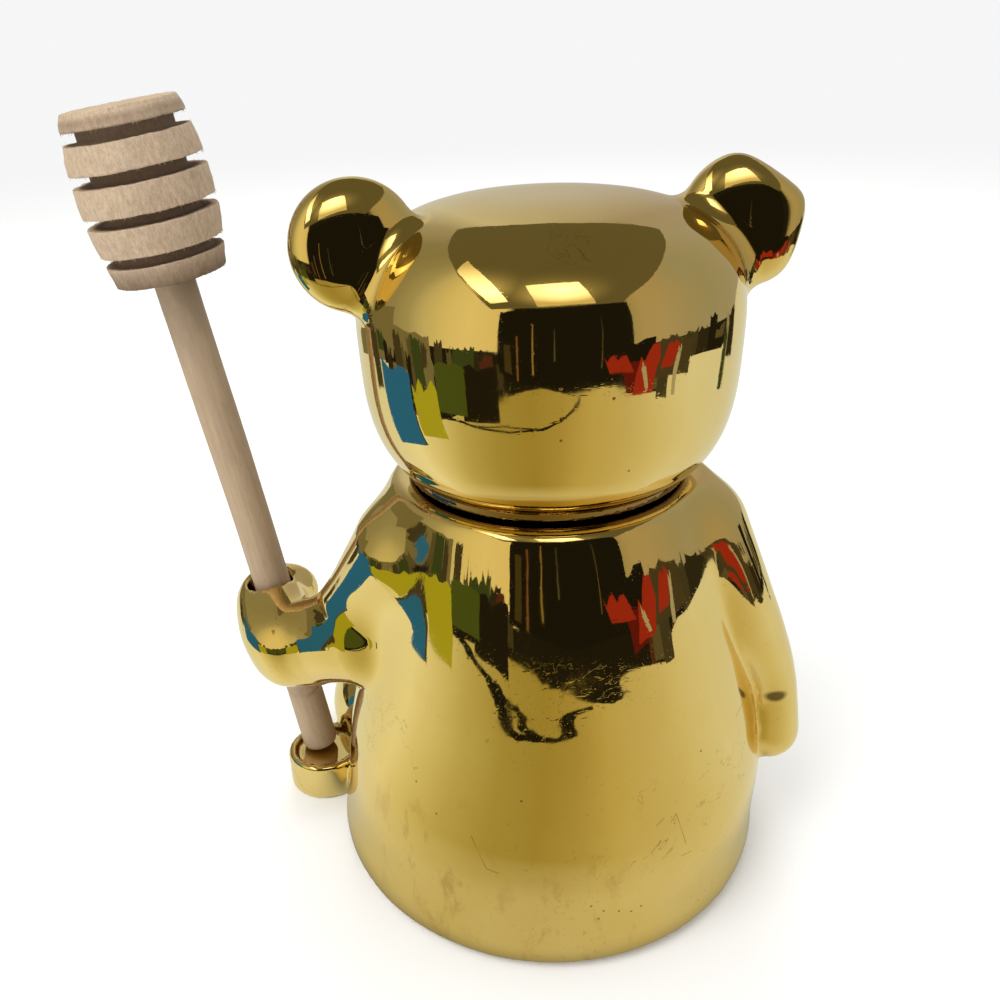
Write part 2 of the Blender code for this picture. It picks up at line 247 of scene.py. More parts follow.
def head_shell(p):
    q = p - np.array(HEAD)
    taper = 1 + 0.03 * q[..., 2] / 26.9
    rho = np.sqrt((q[..., 0] / taper / 35.61) ** 2 + (q[..., 1] / taper / 33.73) ** 2)
    tall = np.where(q[..., 2] > 0, np.abs(q[..., 2]) / 26.9, np.abs(q[..., 2]) / 29.42)
    m = 3.09
    g = (rho ** m + tall ** m) ** (1.0 / m)
    return (g - 1.0) * 28.2


def lid_outside(p):
    d = head_shell(p)
    # ears: thick rounded discs, the right one with slightly flattened sides
    for side, size in ((1, 11.2), (-1, 11.8)):
        turn = (6.0, side * 2.87, side * 10.0)
        q = (p - np.array([side * 34.96, 12.2, 137.5])) @ turn_matrix(*turn)
        disc = np.hypot(q[..., 0], q[..., 2]) / size
        thick = np.abs(q[..., 1]) / np.where(q[..., 1] > 0, 5.0, 6.6)
        ear = ((disc ** 2.5 + thick ** 2.5) ** 0.4 - 1.0) * (5.5 + 5.0 * np.clip(disc - thick, 0, 1))
        if side < 0:
            for angle, reach in ((58.0, 9.6), (-9.0, 10.1)):
                a = math.radians(angle)
                flat = -q[..., 0] * math.cos(a) + q[..., 2] * math.sin(a) - reach
                ear = smax(ear, flat, 4.0)
        hollow = ellipsoid(p, (side * 37.6, 2.6, 136.0), (7.2, 4.6, 7.4), turn)
        d = round_union(d, smax(ear, -hollow, 2.0), 2.6)
    # face: muzzle, nose, brows and eyes in low relief
    muzzle = ellipsoid(p, (0, -23.4, 106.6), (15.2, 12.6, 11.0), (6, 0, 0), 2.2)
    d = smin(d, muzzle, 4.0)
    nose = ellipsoid(p, (0, -35.2, 111.4), (5.6, 3.3, 3.9), (-14, 0, 0), 2.3)
    d = smin(d, nose, 1.1)
    line = cone(p, (0, -37.4, 107.6), (0, -36.4, 103.6), 0.75, 0.75)
    for side in (1, -1):
        line = np.minimum(line, cone(p, (0, -36.6, 103.6), (side * 3.6, -35.6, 101.9), 0.75, 0.75))
        line = np.minimum(line, cone(p, (side * 3.6, -35.6, 101.9), (side * 6.8, -33.3, 103.2), 0.75, 0.6))
    d = smax(d, -line, 0.9)
    for side in (1, -1):
        socket = ellipsoid(p, (side * 13.0, -29.6, 122.3), (5.6, 3.6, 5.8))
        d = smax(d, -socket, 4.0)
        eye = ellipsoid(p, (side * 13.0, -25.0, 122.3), (3.5, 3.4, 3.9))
        d = smin(d, eye, 0.8)
    return d


def lid_field(p):
    z = p[..., 2]
    d = lid_outside(p) + waviness(p, 8, 0.016, 10.0)
    d = smax(d, 91.8 - z, 4.0)
    # seat ring that stands on the rim, and the locating flange
    ring = np.hypot(p[..., 0], p[..., 1] - NECK_Y)
    seat = smax(smax(ring - 27.9, 17.5 - ring, 0.5), np.abs(z - 93.5) - 2.8, 1.0)
    flange = smax(smax(ring - 21.7, 18.5 - ring, 0.8), np.abs(z - 89.6) - 5.4, 1.0)
    d = smin(smin(d, seat, 0.6), flange, 0.8)
    # hollow of the head
    up = (z - 116.75) / 22.4
    down = (116.75 - z) / 21.9
    tall = np.maximum(up, down)
    rho = np.sqrt((p[..., 0] / 29.6) ** 2 + ((p[..., 1] - 6.1) / 28.1) ** 2)
    room = ((rho ** 2.6 + np.maximum(tall, 0) ** 2.6) ** (1 / 2.6) - 1.0) * 24.0
    throat = smax(ring - 18.5, np.abs(z - 92.0) - 14.0, 1.0)
    room = smin(room, throat, 1.5)
    return smax(d, -room, 1.0)


# ------------------------------------------------------------------------------------------------
# Fields to meshes
# ------------------------------------------------------------------------------------------------


def in_chunks(fn, p, chunk=200000):
    return np.concatenate([fn(p[i:i + chunk]) for i in range(0, len(p), chunk)])


def gradient(fn, p, eps):
    g = np.empty_like(p)
    for a in range(3):
        d = np.zeros(3)
        d[a] = eps
        g[:, a] = (in_chunks(fn, p + d) - in_chunks(fn, p - d)) / (2 * eps)
    return g


def surface(fn, low, high, step, block=6):
    """Quads of the field's zero surface, moved onto it, with the field's own normals."""
    low = np.asarray(low, float)
    blocks = np.ceil((np.asarray(high, float) - low) / step / block).astype(int)
    n = blocks * block + 1
    centres = np.stack(np.meshgrid(*[(np.arange(b) + 0.5) * block * step for b in blocks], indexing="ij"), -1) + low
    at = in_chunks(fn, centres.reshape(-1, 3)).reshape(blocks)
    near = np.abs(at) < block * step * 0.87 * 1.3
    field = np.full(n, 1.0)
    known = np.zeros(n, bool)
    for i, j, k in np.ndindex(*blocks):
        s = tuple(slice(v * block, (v + 1) * block + 1) for v in (i, j, k))
        if near[i, j, k]:
            known[s] = True
        elif at[i, j, k] < 0:
            field[s] = -1.0
    places = np.argwhere(known)
    field[known] = in_chunks(fn, low + step * places)
    # a lone corner, in or out of the wall by itself, is a crumb
    inner = field[1:-1, 1:-1, 1:-1]
    beside = [field[2:, 1:-1, 1:-1], field[:-2, 1:-1, 1:-1], field[1:-1, 2:, 1:-1], field[1:-1, :-2, 1:-1],
              field[1:-1, 1:-1, 2:], field[1:-1, 1:-1, :-2]]
    filled = sum((b < 0).astype(int) for b in beside)
    lone_in, lone_out = (inner < 0) & (filled == 0), (inner >= 0) & (filled == 6)
    inner[lone_in], inner[lone_out] = 0.001, -0.001
    # fill the corners where two sheets of the skin would share one edge
    for _ in range(3):
        for b, c in ((1, 2), (0, 2), (0, 1)):
            corners = []
            for ob, oc in ((0, 0), (1, 0), (0, 1), (1, 1)):
                s = [slice(None)] * 3
                s[b], s[c] = slice(ob, n[b] - 1 + ob), slice(oc, n[c] - 1 + oc)
                corners.append(field[tuple(s)])
            solid = [corner < 0 for corner in corners]
            corners[1][solid[0] & solid[3] & ~solid[1] & ~solid[2]] = -0.001
            corners[0][solid[1] & solid[2] & ~solid[0] & ~solid[3]] = -0.001
    inside = field < 0

    cells = np.zeros(n - 1, int)
    for corner in np.ndindex(2, 2, 2):
        cells += inside[tuple(slice(c, n[a] - 1 + c) for a, c in enumerate(corner))]
    active = (cells > 0) & (cells < 8)
    ids = np.argwhere(active)
    index = -np.ones(active.shape, int)
    index[active] = np.arange(len(ids))
    total = np.zeros((len(ids), 3))
    count = np.zeros(len(ids))
    for a in range(3):
        b, c = [(1, 2), (0, 2), (0, 1)][a]
        for ob in (0, 1):
            for oc in (0, 1):
                o0 = [0, 0, 0]
                o0[b], o0[c] = ob, oc
                o1 = list(o0)
                o1[a] = 1
                f0 = field[ids[:, 0] + o0[0], ids[:, 1] + o0[1], ids[:, 2] + o0[2]]
                f1 = field[ids[:, 0] + o1[0], ids[:, 1] + o1[1], ids[:, 2] + o1[2]]
                cut = (f0 < 0) != (f1 < 0)
                t = np.where(cut, f0 / np.where(cut, f0 - f1, 1), 0)
                q = np.array(o0, float) + np.zeros((len(ids), 3))
                q[:, a] += t
                total[cut] += q[cut]
                count[cut] += 1
    verts = low + step * (ids + total / count[:, None])
    quads = []
    for a in range(3):
        b, c = [(1, 2), (2, 0), (0, 1)][a]
        s0, s1 = [slice(None)] * 3, [slice(None)] * 3
        s0[a], s1[a] = slice(0, -1), slice(1, None)
        e = np.argwhere(inside[tuple(s0)] != inside[tuple(s1)])
        e = e[(e[:, b] > 0) & (e[:, c] > 0) & (e[:, b] < n[b] - 1) & (e[:, c] < n[c] - 1)]

        def cell(db, dc):
            q = e.copy()
            q[:, b] += db
            q[:, c] += dc
            return index[q[:, 0], q[:, 1], q[:, 2]]

        q = np.stack([cell(-1, -1), cell(0, -1), cell(0, 0), cell(-1, 0)], 1)
        out = inside[e[:, 0], e[:, 1], e[:, 2]]
        quads.append(np.where(out[:, None], q, q[:, ::-1]))
    quads = np.concatenate(quads)
    # keep the one connected skin, without loose crumbs
    label = np.arange(len(verts))
    while True:
        lower = label.copy()
        np.minimum.at(lower, quads, label[quads].min(1)[:, None])
        lower = lower[lower]
        if (lower == label).all():
            break
        label = lower
    root = label[quads[:, 0]]
    quads = quads[root == np.bincount(root).argmax()]
    used, quads = np.unique(quads, return_inverse=True)
    verts, quads = verts[used], quads.reshape(-1, 4)
    for _ in range(3):
        f = in_chunks(fn, verts)
        g = gradient(fn, verts, step * 0.02)
        size = (g * g).sum(1) + 1e-9
        move = np.clip(-f / size, -0.5 * step / np.sqrt(size), 0.5 * step / np.sqrt(size))
        verts = verts + move[:, None] * g
    normals = gradient(fn, verts, 0.04)
    normals /= np.linalg.norm(normals, axis=1, keepdims=True) + 1e-12
    return verts, quads, normals


def to_object(name, verts, faces, materials, normals=None, slots=None):
    """Mesh object from arrays; verts in metres."""
    mesh = bpy.data.meshes.new(name)
    faces = np.asarray(faces)
    mesh.vertices.add(len(verts))
    mesh.vertices.foreach_set("co", np.asarray(verts, np.float32).ravel())
    mesh.loops.add(faces.size)
    mesh.loops.foreach_set("vertex_index", faces.astype(np.int32).ravel())
    mesh.polygons.add(len(faces))
    mesh.polygons.foreach_set("loop_start", np.arange(0, faces.size, faces.shape[1], dtype=np.int32))
    for mat in materials:
        mesh.materials.append(mat)
    if slots is not None:
        mesh.polygons.foreach_set("material_index", np.asarray(slots, np.int32))
    mesh.update(calc_edges=True)
    mesh.validate(clean_customdata=False)
    mesh.shade_smooth()
    if normals is not None:
        mesh.normals_split_custom_set_from_vertices(np.asarray(normals, float))
    obj = bpy.data.objects.new(name, mesh)
    bpy.context.scene.collection.objects.link(obj)
    return obj


# ------------------------------------------------------------------------------------------------
# Node helpers
# ------------------------------------------------------------------------------------------------


class Nodes:
    def __init__(self, name):
        self.mat = bpy.data.materials.new(name)
        self.mat.use_nodes = True
        self.tree = self.mat.node_tree
        self.shader = self.tree.nodes["Principled BSDF"]
        self.place = self.tree.nodes.new("ShaderNodeTexCoord").outputs["Object"]

    def link(self, a, b):
        self.tree.links.new(a, b)

    def scaled(self, factor, offset=(0, 0, 0), turn=(0, 0, 0)):
        node = self.tree.nodes.new("ShaderNodeMapping")
        node.inputs["Scale"].default_value = factor if hasattr(factor, "__len__") else (factor,) * 3
        node.inputs["Location"].default_value = offset
        node.inputs["Rotation"].default_value = turn
        self.link(self.place, node.inputs["Vector"])
        return node.outputs["Vector"]

    def noise(self, vector, scale=1.0, detail=3.0, rough=0.55, distort=0.0):
        node = self.tree.nodes.new("ShaderNodeTexNoise")
        node.inputs["Scale"].default_value = scale
        node.inputs["Detail"].default_value = detail
        node.inputs["Roughness"].default_value = rough
        node.inputs["Distortion"].default_value = distort
        self.link(vector, node.inputs["Vector"])
        return node.outputs["Fac"]

    def voronoi(self, vector, scale=1.0, feature="F1", randomness=1.0):
        node = self.tree.nodes.new("ShaderNodeTexVoronoi")
        node.feature = feature
        node.inputs["Scale"].default_value = scale
        node.inputs["Randomness"].default_value = randomness
        self.link(vector, node.inputs["Vector"])
        return node.outputs["Distance"]

    def ramp(self, value, stops):
        node = self.tree.nodes.new("ShaderNodeValToRGB")
        while len(node.color_ramp.elements) < len(stops):
            node.color_ramp.elements.new(0.5)
        for element, (place, colour) in zip(node.color_ramp.elements, stops):
            element.position = place
            element.color = (*colour, 1.0) if hasattr(colour, "__len__") else (colour, colour, colour, 1.0)
        self.link(value, node.inputs["Fac"])
        return node.outputs["Color"]

    def range(self, value, low, high, to_low, to_high):
        node = self.tree.nodes.new("ShaderNodeMapRange")
        for key, number in (("From Min", low), ("From Max", high), ("To Min", to_low), ("To Max", to_high)):
            node.inputs[key].default_value = number
        self.link(value, node.inputs["Value"])
        return node.outputs["Result"]

    def math(self, kind, a, b=None):
        node = self.tree.nodes.new("ShaderNodeMath")
        node.operation = kind
        for socket, value in zip(node.inputs, (a, b)):
            if value is None:
                continue
            if isinstance(value, (int, float)):
                socket.default_value = value
            else:
                self.link(value, socket)
        return node.outputs["Value"]

    def mix(self, factor, a, b, kind="MIX"):
        node = self.tree.nodes.new("ShaderNodeMix")
        node.data_type = "RGBA"
        node.blend_type = kind
        for key, value in (("Factor", factor), ("A", a), ("B", b)):
            socket = next(s for s in node.inputs if s.name == key and s.enabled)
            if isinstance(value, (int, float)):
                socket.default_value = value
            elif isinstance(value, tuple):
                socket.default_value = (*value, 1.0)
            else:
                self.link(value, socket)
        return next(s for s in node.outputs if s.enabled)

    def spot(self, centre, radius, soft=0.5):
        """1 at centre (metres), 0 beyond radius."""
        node = self.tree.nodes.new("ShaderNodeVectorMath")
        node.operation = "DISTANCE"
        self.link(self.place, node.inputs[0])
        node.inputs[1].default_value = centre
        return self.range(node.outputs["Value"], radius * (1 - soft), radius, 1.0, 0.0)

    def scratch(self, a, b, width):
        """1 on the straight line from a to b (metres), 0 beyond width."""
        a, b = Vector(a), Vector(b)
        way = b - a

        def vector(kind, u, v=None):
            node = self.tree.nodes.new("ShaderNodeVectorMath")
            node.operation = kind
            for socket, value in zip(node.inputs, (u, v)):
                if isinstance(value, Vector):
                    socket.default_value = value
                elif value is not None:
                    self.link(value, socket)
            return node

        rel = vector("SUBTRACT", self.place, a).outputs["Vector"]
        share = vector("DOT_PRODUCT", rel, way / way.length_squared).outputs["Value"]
        share = self.range(share, 0.0, 1.0, 0.0, 1.0)
        on = vector("SCALE", way)
        self.link(share, on.inputs["Scale"])
        gap = vector("DISTANCE", rel, on.outputs["Vector"]).outputs["Value"]
        return self.range(gap, width * 0.4, width, 1.0, 0.0)

    def bump(self, height, strength, distance, normal=None):
        node = self.tree.nodes.new("ShaderNodeBump")
        node.inputs["Strength"].default_value = strength
        node.inputs["Distance"].default_value = distance
        self.link(height, node.inputs["Height"])
        if normal is not None:
            self.link(normal, node.inputs["Normal"])
        return node.outputs["Normal"]


# ------------------------------------------------------------------------------------------------
# Materials
# ------------------------------------------------------------------------------------------------


def gold_lustre():
    """Mirror-bright gold lustre fired over a glaze: faint orange peel, hairline scratches, rubbed spots, painted shade
    in the seam under the head and a painted reflection on the right hand.
    """
    n = Nodes("gold_lustre")
    s = n.shader
    s.inputs["Metallic"].default_value = 1.0
    # colour: pale gold, a little deeper in drifting patches
    drift = n.noise(n.scaled(28.0), 1.0, 4.0, 0.55)
    colour = n.ramp(drift, [(0.30, (0.79, 0.585, 0.215)), (0.52, (0.82, 0.62, 0.25)), (0.72, (0.85, 0.66, 0.30))])
    low = n.tree.nodes.new("ShaderNodeSeparateXYZ")
    n.link(n.place, low.inputs["Vector"])
    height = low.outputs["Z"]
    # brown where the lustre is rubbed thin, mostly low on the back
    specks = n.noise(n.scaled(900.0), 1.0, 5.0, 0.62)
    patches = n.noise(n.scaled(48.0, (3.1, 0.2, 1.7)), 1.0, 3.0, 0.6)
    worn = n.math("MULTIPLY", n.range(specks, 0.60, 0.74, 0.0, 1.0), n.range(patches, 0.47, 0.66, 0.0, 1.0))
    worn = n.math("MULTIPLY", worn, n.range(height, 0.010, 0.065, 1.0, 0.15))
    smear = n.noise(n.scaled((210.0, 210.0, 90.0), (0.7, 2.2, 0.4), (0.3, 0.2, 0.0)), 1.0, 6.0, 0.68, 0.4)
    place = n.math("MAXIMUM", n.spot((0.0327, 0.0341, 0.0183), 0.024, 0.9), n.spot((0.0036, 0.0491, 0.0098), 0.022, 0.9))
    place = n.math("MAXIMUM", place, n.math("MULTIPLY", n.spot((0.0249, 0.0411, 0.0143), 0.016, 0.9), 0.6))
    smear = n.math("MULTIPLY", n.range(smear, 0.54, 0.66, 0.0, 1.0), place)
    colour = n.mix(n.math("MULTIPLY", worn, 0.65), colour, (0.36, 0.19, 0.045))
    colour = n.mix(n.math("MULTIPLY", smear, 0.50), colour, (0.40, 0.22, 0.055))
    # thin ragged scuffs
    warp = n.noise(n.scaled(60.0, (9.0, 4.0, 2.0)), 1.0, 5.0, 0.65, 0.6)
    line = n.math("ABSOLUTE", n.math("SUBTRACT", warp, 0.5))
    line = n.range(line, 0.0, 0.0035, 1.0, 0.0)
    where = n.noise(n.scaled(35.0, (1.0, 7.0, 3.0)), 1.0, 2.0, 0.5)
    scuff = n.math("MULTIPLY", line, n.range(where, 0.58, 0.66, 0.0, 1.0))
    scuff = n.math("MULTIPLY", scuff, n.range(height, 0.030, 0.075, 1.0, 0.0))
    # a scribble of scratches on top of the head and a few beside it
    curl = n.noise(n.scaled(230.0, (2.0, 8.0, 5.0)), 1.0, 3.0, 0.5, 1.2)
    curl = n.range(n.math("ABSOLUTE", n.math("SUBTRACT", curl, 0.5)), 0.0, 0.012, 1.0, 0.0)
    near = n.math("MAXIMUM", n.spot((0.0032, 0.0331, 0.1393), 0.0052, 0.4), n.spot((-0.021, 0.045, 0.030), 0.004, 0.4))
    scuff = n.math("MAXIMUM", scuff, n.math("MULTIPLY", curl, near))
    # single scratches, and pits where the lustre has chipped
    for a, b in (((-0.0147, 0.0463, 0.0336), (-0.0094, 0.0482, 0.0264)),
                 ((-0.0147, 0.0463, 0.0336), (-0.0172, 0.0462, 0.0253)),
                 ((-0.0104, 0.0475, 0.0325), (-0.012, 0.047, 0.0336)),
                 ((-0.0186, 0.0457, 0.0227), (-0.0162, 0.0466, 0.0228)),
                 ((0.0241, 0.0403, 0.0304), (0.0218, 0.0426, 0.0238)),
                 ((0.0218, 0.0426, 0.0238), (0.0196, 0.0439, 0.0233)),
                 ((-0.034, 0.0309, 0.0454), (-0.031, 0.0343, 0.0447))):
        scuff = n.math("MAXIMUM", scuff, n.math("MULTIPLY", n.scratch(a, b, 0.00013), 0.8))
    for place in ((0.0026, 0.049, 0.0162), (0.0001, 0.0492, 0.0145), (-0.003, 0.0491, 0.0137),
                  (-0.0056, 0.0489, 0.0128), (0.0011, 0.0491, 0.0126), (-0.0077, 0.0486, 0.0134),
                  (0.0063, 0.0404, 0.119), (-0.0022, 0.0408, 0.1166), (0.0062, 0.04, 0.11),
                  (-0.0057, 0.0388, 0.1029), (0.0331, 0.0301, 0.0368), (0.03, 0.0349, 0.0323),
                  (-0.0208, 0.0418, 0.0439), (0.0148, 0.0436, 0.0401)):
        scuff = n.math("MAXIMUM", scuff, n.spot(place, 0.00032, 0.5))
    colour = n.mix(n.math("MULTIPLY", scuff, 0.75), colour, (0.25, 0.12, 0.03))
    # painted reflection: a small dark almond-shaped spot on the right hand, standing in for a dark thing mirrored there
    painted_reflection_spot = n.tree.nodes.new("ShaderNodeVectorMath")
    painted_reflection_spot.operation = "DISTANCE"
    n.link(n.scaled((1.0, 1.0, 1.8)), painted_reflection_spot.inputs[0])
    painted_reflection_spot.inputs[1].default_value = (-0.0427, 0.0278, 0.0428 * 1.8)
    colour = n.mix(n.range(painted_reflection_spot.outputs["Value"], 0.0016, 0.0029, 0.85, 0.0), colour, (0.07, 0.045, 0.02))
    # painted shade: the seam under the head darkened to dark brown, where the gap lies in shadow
    ring = n.tree.nodes.new("ShaderNodeVectorMath")
    ring.operation = "DISTANCE"
    n.link(n.scaled((1.0, 1.0, 0.0)), ring.inputs[0])
    ring.inputs[1].default_value = (0.0, NECK_Y * MM, 0.0)
    seam = n.math("MULTIPLY", n.range(height, 0.09050, 0.09065, 0.0, 1.0), n.range(height, 0.0922, 0.0940, 1.0, 0.0))
    seam = n.math("MULTIPLY", seam, n.range(ring.outputs["Value"], 0.0275, 0.0300, 1.0, 0.0))
    colour = n.mix(n.math("MULTIPLY", seam, 0.88), colour, (0.10, 0.035, 0.02))
    n.link(colour, s.inputs["Base Color"])
    # roughness: a clear mirror with hazy wiped patches
    haze = n.noise(n.scaled((120.0, 120.0, 26.0)), 1.0, 5.0, 0.6, 0.3)
    rough = n.range(haze, 0.45, 0.80, 0.02, 0.085)
    rough = n.math("ADD", rough, n.math("MULTIPLY", worn, 0.30))
    rough = n.math("ADD", rough, n.math("MULTIPLY", smear, 0.16))
    rough = n.math("ADD", rough, n.math("MULTIPLY", scuff, 0.3))
    n.link(rough, s.inputs["Roughness"])
    # relief: orange peel, pin specks, hairlines
    peel = n.noise(n.scaled((330.0, 330.0, 210.0)), 1.0, 2.0, 0.5)
    normal = n.bump(peel, 0.012, 0.0004)
    sway = n.noise(n.scaled((190.0, 190.0, 75.0), (2, 6, 1)), 1.0, 2.0, 0.5)
    normal = n.bump(sway, 0.05, 0.0004, normal)
    grit = n.noise(n.scaled(2600.0), 1.0, 2.0, 0.5)
    normal = n.bump(n.range(grit, 0.68, 0.80, 0.0, 1.0), 0.03, 0.00012, normal)
    hair = n.noise(n.scaled((260.0, 2100.0, 900.0), (0, 0, 0), (0.5, 0.3, 0.2)), 1.0, 2.0, 0.5)
    normal = n.bump(n.range(hair, 0.62, 0.72, 0.0, 1.0), 0.02, 0.00008, normal)
    normal = n.bump(scuff, 0.12, 0.0001, normal)
    n.link(normal, s.inputs["Normal"])
    return n.mat


def cream_glaze():
    """Clear-glazed white clay inside, where honey touches it."""
    n = Nodes("cream_glaze")
    s = n.shader
    drift = n.noise(n.scaled(60.0), 1.0, 4.0, 0.55)
    n.link(n.ramp(drift, [(0.3, (0.70, 0.63, 0.50)), (0.7, (0.80, 0.75, 0.64))]), s.inputs["Base Color"])
    n.link(n.range(drift, 0.3, 0.7, 0.16, 0.30), s.inputs["Roughness"])
    s.inputs["Coat Weight"].default_value = 0.4
    s.inputs["Coat Roughness"].default_value = 0.06
    n.link(n.bump(n.noise(n.scaled(500.0), 1.0, 2.0), 0.08, 0.0004), s.inputs["Normal"])
    return n.mat


def bare_clay():
    """Dry unglazed clay of the foot ring and recess."""
    n = Nodes("bare_clay")
    s = n.shader
    grain = n.noise(n.scaled(1500.0), 1.0, 4.0, 0.6)
    drift = n.noise(n.scaled(90.0), 1.0, 3.0, 0.6)
    colour = n.ramp(drift, [(0.3, (0.56, 0.47, 0.36)), (0.7, (0.68, 0.60, 0.49))])
    colour = n.mix(n.range(grain, 0.62, 0.75, 0.0, 0.6), colour, (0.34, 0.25, 0.17))
    n.link(colour, s.inputs["Base Color"])
    n.link(n.range(grain, 0.3, 0.7, 0.75, 0.95), s.inputs["Roughness"])
    n.link(n.bump(grain, 0.35, 0.0003), s.inputs["Normal"])
    return n.mat


def wood(name, pale, mid, dark, rough, fibre, stretch, relief, tint, groove_shade=None):
    """Beech turned along the grain; the grain runs along the dipper's axis. The last argument is (colour, radius,
    height) of
    painted shade in the grooves: their bottoms and the ring faces inside them are darkened where shadow falls."""
    n = Nodes(name)
    s = n.shader
    along = n.tree.nodes.new("ShaderNodeMapping")
    along.vector_type = "TEXTURE"
    along.inputs["Location"].default_value = stand.to_translation()
    along.inputs["Rotation"].default_value = stand.to_euler("XYZ")
    n.link(n.place, along.inputs["Vector"])
    n.place = along.outputs["Vector"]
    streak = n.noise(n.scaled((fibre, fibre, fibre / stretch)), 1.0, 5.0, 0.65, 0.15)
    broad = n.noise(n.scaled((fibre * 0.16, fibre * 0.16, fibre * 0.16 / stretch), (4, 1, 0)), 1.0, 3.0, 0.5, 0.3)
    colour = n.ramp(streak, [(0.30, dark), (0.48, mid), (0.68, pale)])
    colour = n.mix(n.range(broad, 0.3, 0.7, 0.0, 0.5), colour, tint)
    pores = n.noise(n.scaled((fibre * 3.2, fibre * 3.2, fibre * 0.30), (2, 5, 1)), 1.0, 2.0, 0.5)
    pore = n.range(pores, 0.62, 0.74, 0.0, 1.0)
    colour = n.mix(n.math("MULTIPLY", pore, 0.40), colour, tuple(c * 0.5 for c in dark))
    # handling stains
    stain = n.noise(n.scaled((170.0, 170.0, 60.0), (3, 3, 6)), 1.0, 4.0, 0.6, 0.4)
    colour = n.mix(n.range(stain, 0.50, 0.75, 0.0, 0.45), colour, tuple(c * 0.72 for c in mid))
    if groove_shade is not None:
        # painted shade: the bottoms of the grooves and the ring faces inside them darkened to the given colour
        flat = n.tree.nodes.new("ShaderNodeVectorMath")
        flat.operation = "LENGTH"
        n.link(n.scaled((1.0, 1.0, 0.0)), flat.inputs[0])
        parts = n.tree.nodes.new("ShaderNodeSeparateXYZ")
        n.link(n.place, parts.inputs["Vector"])
        groove_shade_mask = n.math("MULTIPLY", n.range(flat.outputs["Value"], groove_shade[1] - 0.0004, groove_shade[1] + 0.0006, 1.0, 0.0),
                      n.range(parts.outputs["Z"], groove_shade[2] - 0.001, groove_shade[2], 1.0, 0.0))
        colour = n.mix(n.math("MULTIPLY", groove_shade_mask, 0.85), colour, groove_shade[0])
        # fuzz of torn fibres on the rings' skin
        fuzz = n.noise(n.scaled((3600.0, 3600.0, 2000.0), (7, 1, 4)), 1.0, 3.0, 0.6)
        skin = n.math("SUBTRACT", 1.0, groove_shade_mask)
        colour = n.mix(n.math("MULTIPLY", n.range(fuzz, 0.56, 0.72, 0.0, 0.42), skin), colour,
                       tuple(min(c * 1.25, 0.9) for c in pale))
        colour = n.mix(n.range(fuzz, 0.44, 0.30, 0.0, 0.40), colour, tuple(c * 0.62 for c in mid))
    else:
        # painted shade just under the head, mottled with handling stains
        parts = n.tree.nodes.new("ShaderNodeSeparateXYZ")
        n.link(n.place, parts.inputs["Vector"])
        shade_and_stain_under_head = n.math("MULTIPLY", n.range(parts.outputs["Z"], 0.099, 0.1175, 0.0, 1.0), n.range(stain, 0.36, 0.60, 0.25, 0.85))
        colour = n.mix(shade_and_stain_under_head, colour, tuple(c * 0.62 for c in mid))
    n.link(colour, s.inputs["Base Color"])
    n.link(n.range(streak, 0.3, 0.7, rough + 0.1, rough - 0.08), s.inputs["Roughness"])
    s.inputs["Specular IOR Level"].default_value = 0.35
    normal = n.bump(streak, 0.35 * relief, 0.00035)
    if groove_shade is not None:
        normal = n.bump(fuzz, 0.55, 0.00022, normal)
    normal = n.bump(n.math("MULTIPLY", pore, -1.0), 0.4 * relief, 0.0002, normal)
    n.link(normal, s.inputs["Normal"])
    return n.mat


gold = gold_lustre()
cream = cream_glaze()
clay = bare_clay()

# ------------------------------------------------------------------------------------------------
# Pot and lid
# ------------------------------------------------------------------------------------------------


def hollow_share(p, kind):
    """True on the walls of the inside."""
    z = p[:, 2]
    if kind == "pot":
        ring = np.hypot(p[:, 0], p[:, 1] - NECK_Y)
        inside = (torso_side(p, 3.2) < 0) & (z > 4.0) & (z < 82.0) | (ring < 24.0) & (z > 4.0) & (z < 90.0)
        return inside
    ring = np.hypot(p[:, 0], p[:, 1] - NECK_Y)
    rho = np.sqrt((p[:, 0] / 29.6) ** 2 + ((p[:, 1] - 6.1) / 28.1) ** 2)
    up = np.maximum((z - 116.75) / 22.4, (116.75 - z) / 21.9)
    room = (rho ** 2.6 + np.maximum(up, 0) ** 2.6) < 1.05 ** 2.6
    return room | (ring < 19.4) & (z < 100.0)


def build_shell(name, fn, low, high, step, kind):
    verts, quads, normals = surface(fn, low, high, step)
    middle = verts[quads].mean(1)
    slots = np.zeros(len(quads), int)
    slots[hollow_share(middle, kind)] = 1
    facing = normals[quads].mean(1)
    if kind == "pot":
        slots[(middle[:, 2] < 1.6) & (facing[:, 2] < -0.9)] = 2
        slots[(middle[:, 2] < 1.6) & (np.hypot(middle[:, 0], middle[:, 1]) < 40.5)] = 2
    else:
        ring = np.hypot(middle[:, 0], middle[:, 1] - NECK_Y)
        slots[(middle[:, 2] < 91.2) & (ring < 22.6) & (slots == 0)] = 2
    return to_object(name, verts * MM, quads, [gold, cream, clay], normals, slots)


pot = build_shell("bear_pot", pot_field, (-68, -64, -3), (78, 58, 94), 1.0, "pot")
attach(pot, "pot")
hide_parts("pot_body")

lid = build_shell("bear_head", lid_field, (-52, -44, 81), (52, 48, 154), 0.9, "lid")
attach(lid, "lid")
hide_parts("head_lid")

# ------------------------------------------------------------------------------------------------
# Dipper
# ------------------------------------------------------------------------------------------------


def hash01(i, j, k, seed):
    v = (i.astype(np.int64) * 73856093) ^ (j.astype(np.int64) * 19349663) ^ (k.astype(np.int64) * 83492791)
    v = (v ^ (seed * 2654435761)) & 0xFFFFFFFF
    v = (v * 1103515245 + 12345) & 0xFFFFFFFF
    v ^= v >> 13
    v = (v * 2246822519) & 0xFFFFFFFF
    v ^= v >> 16
    return v / 4294967295.0


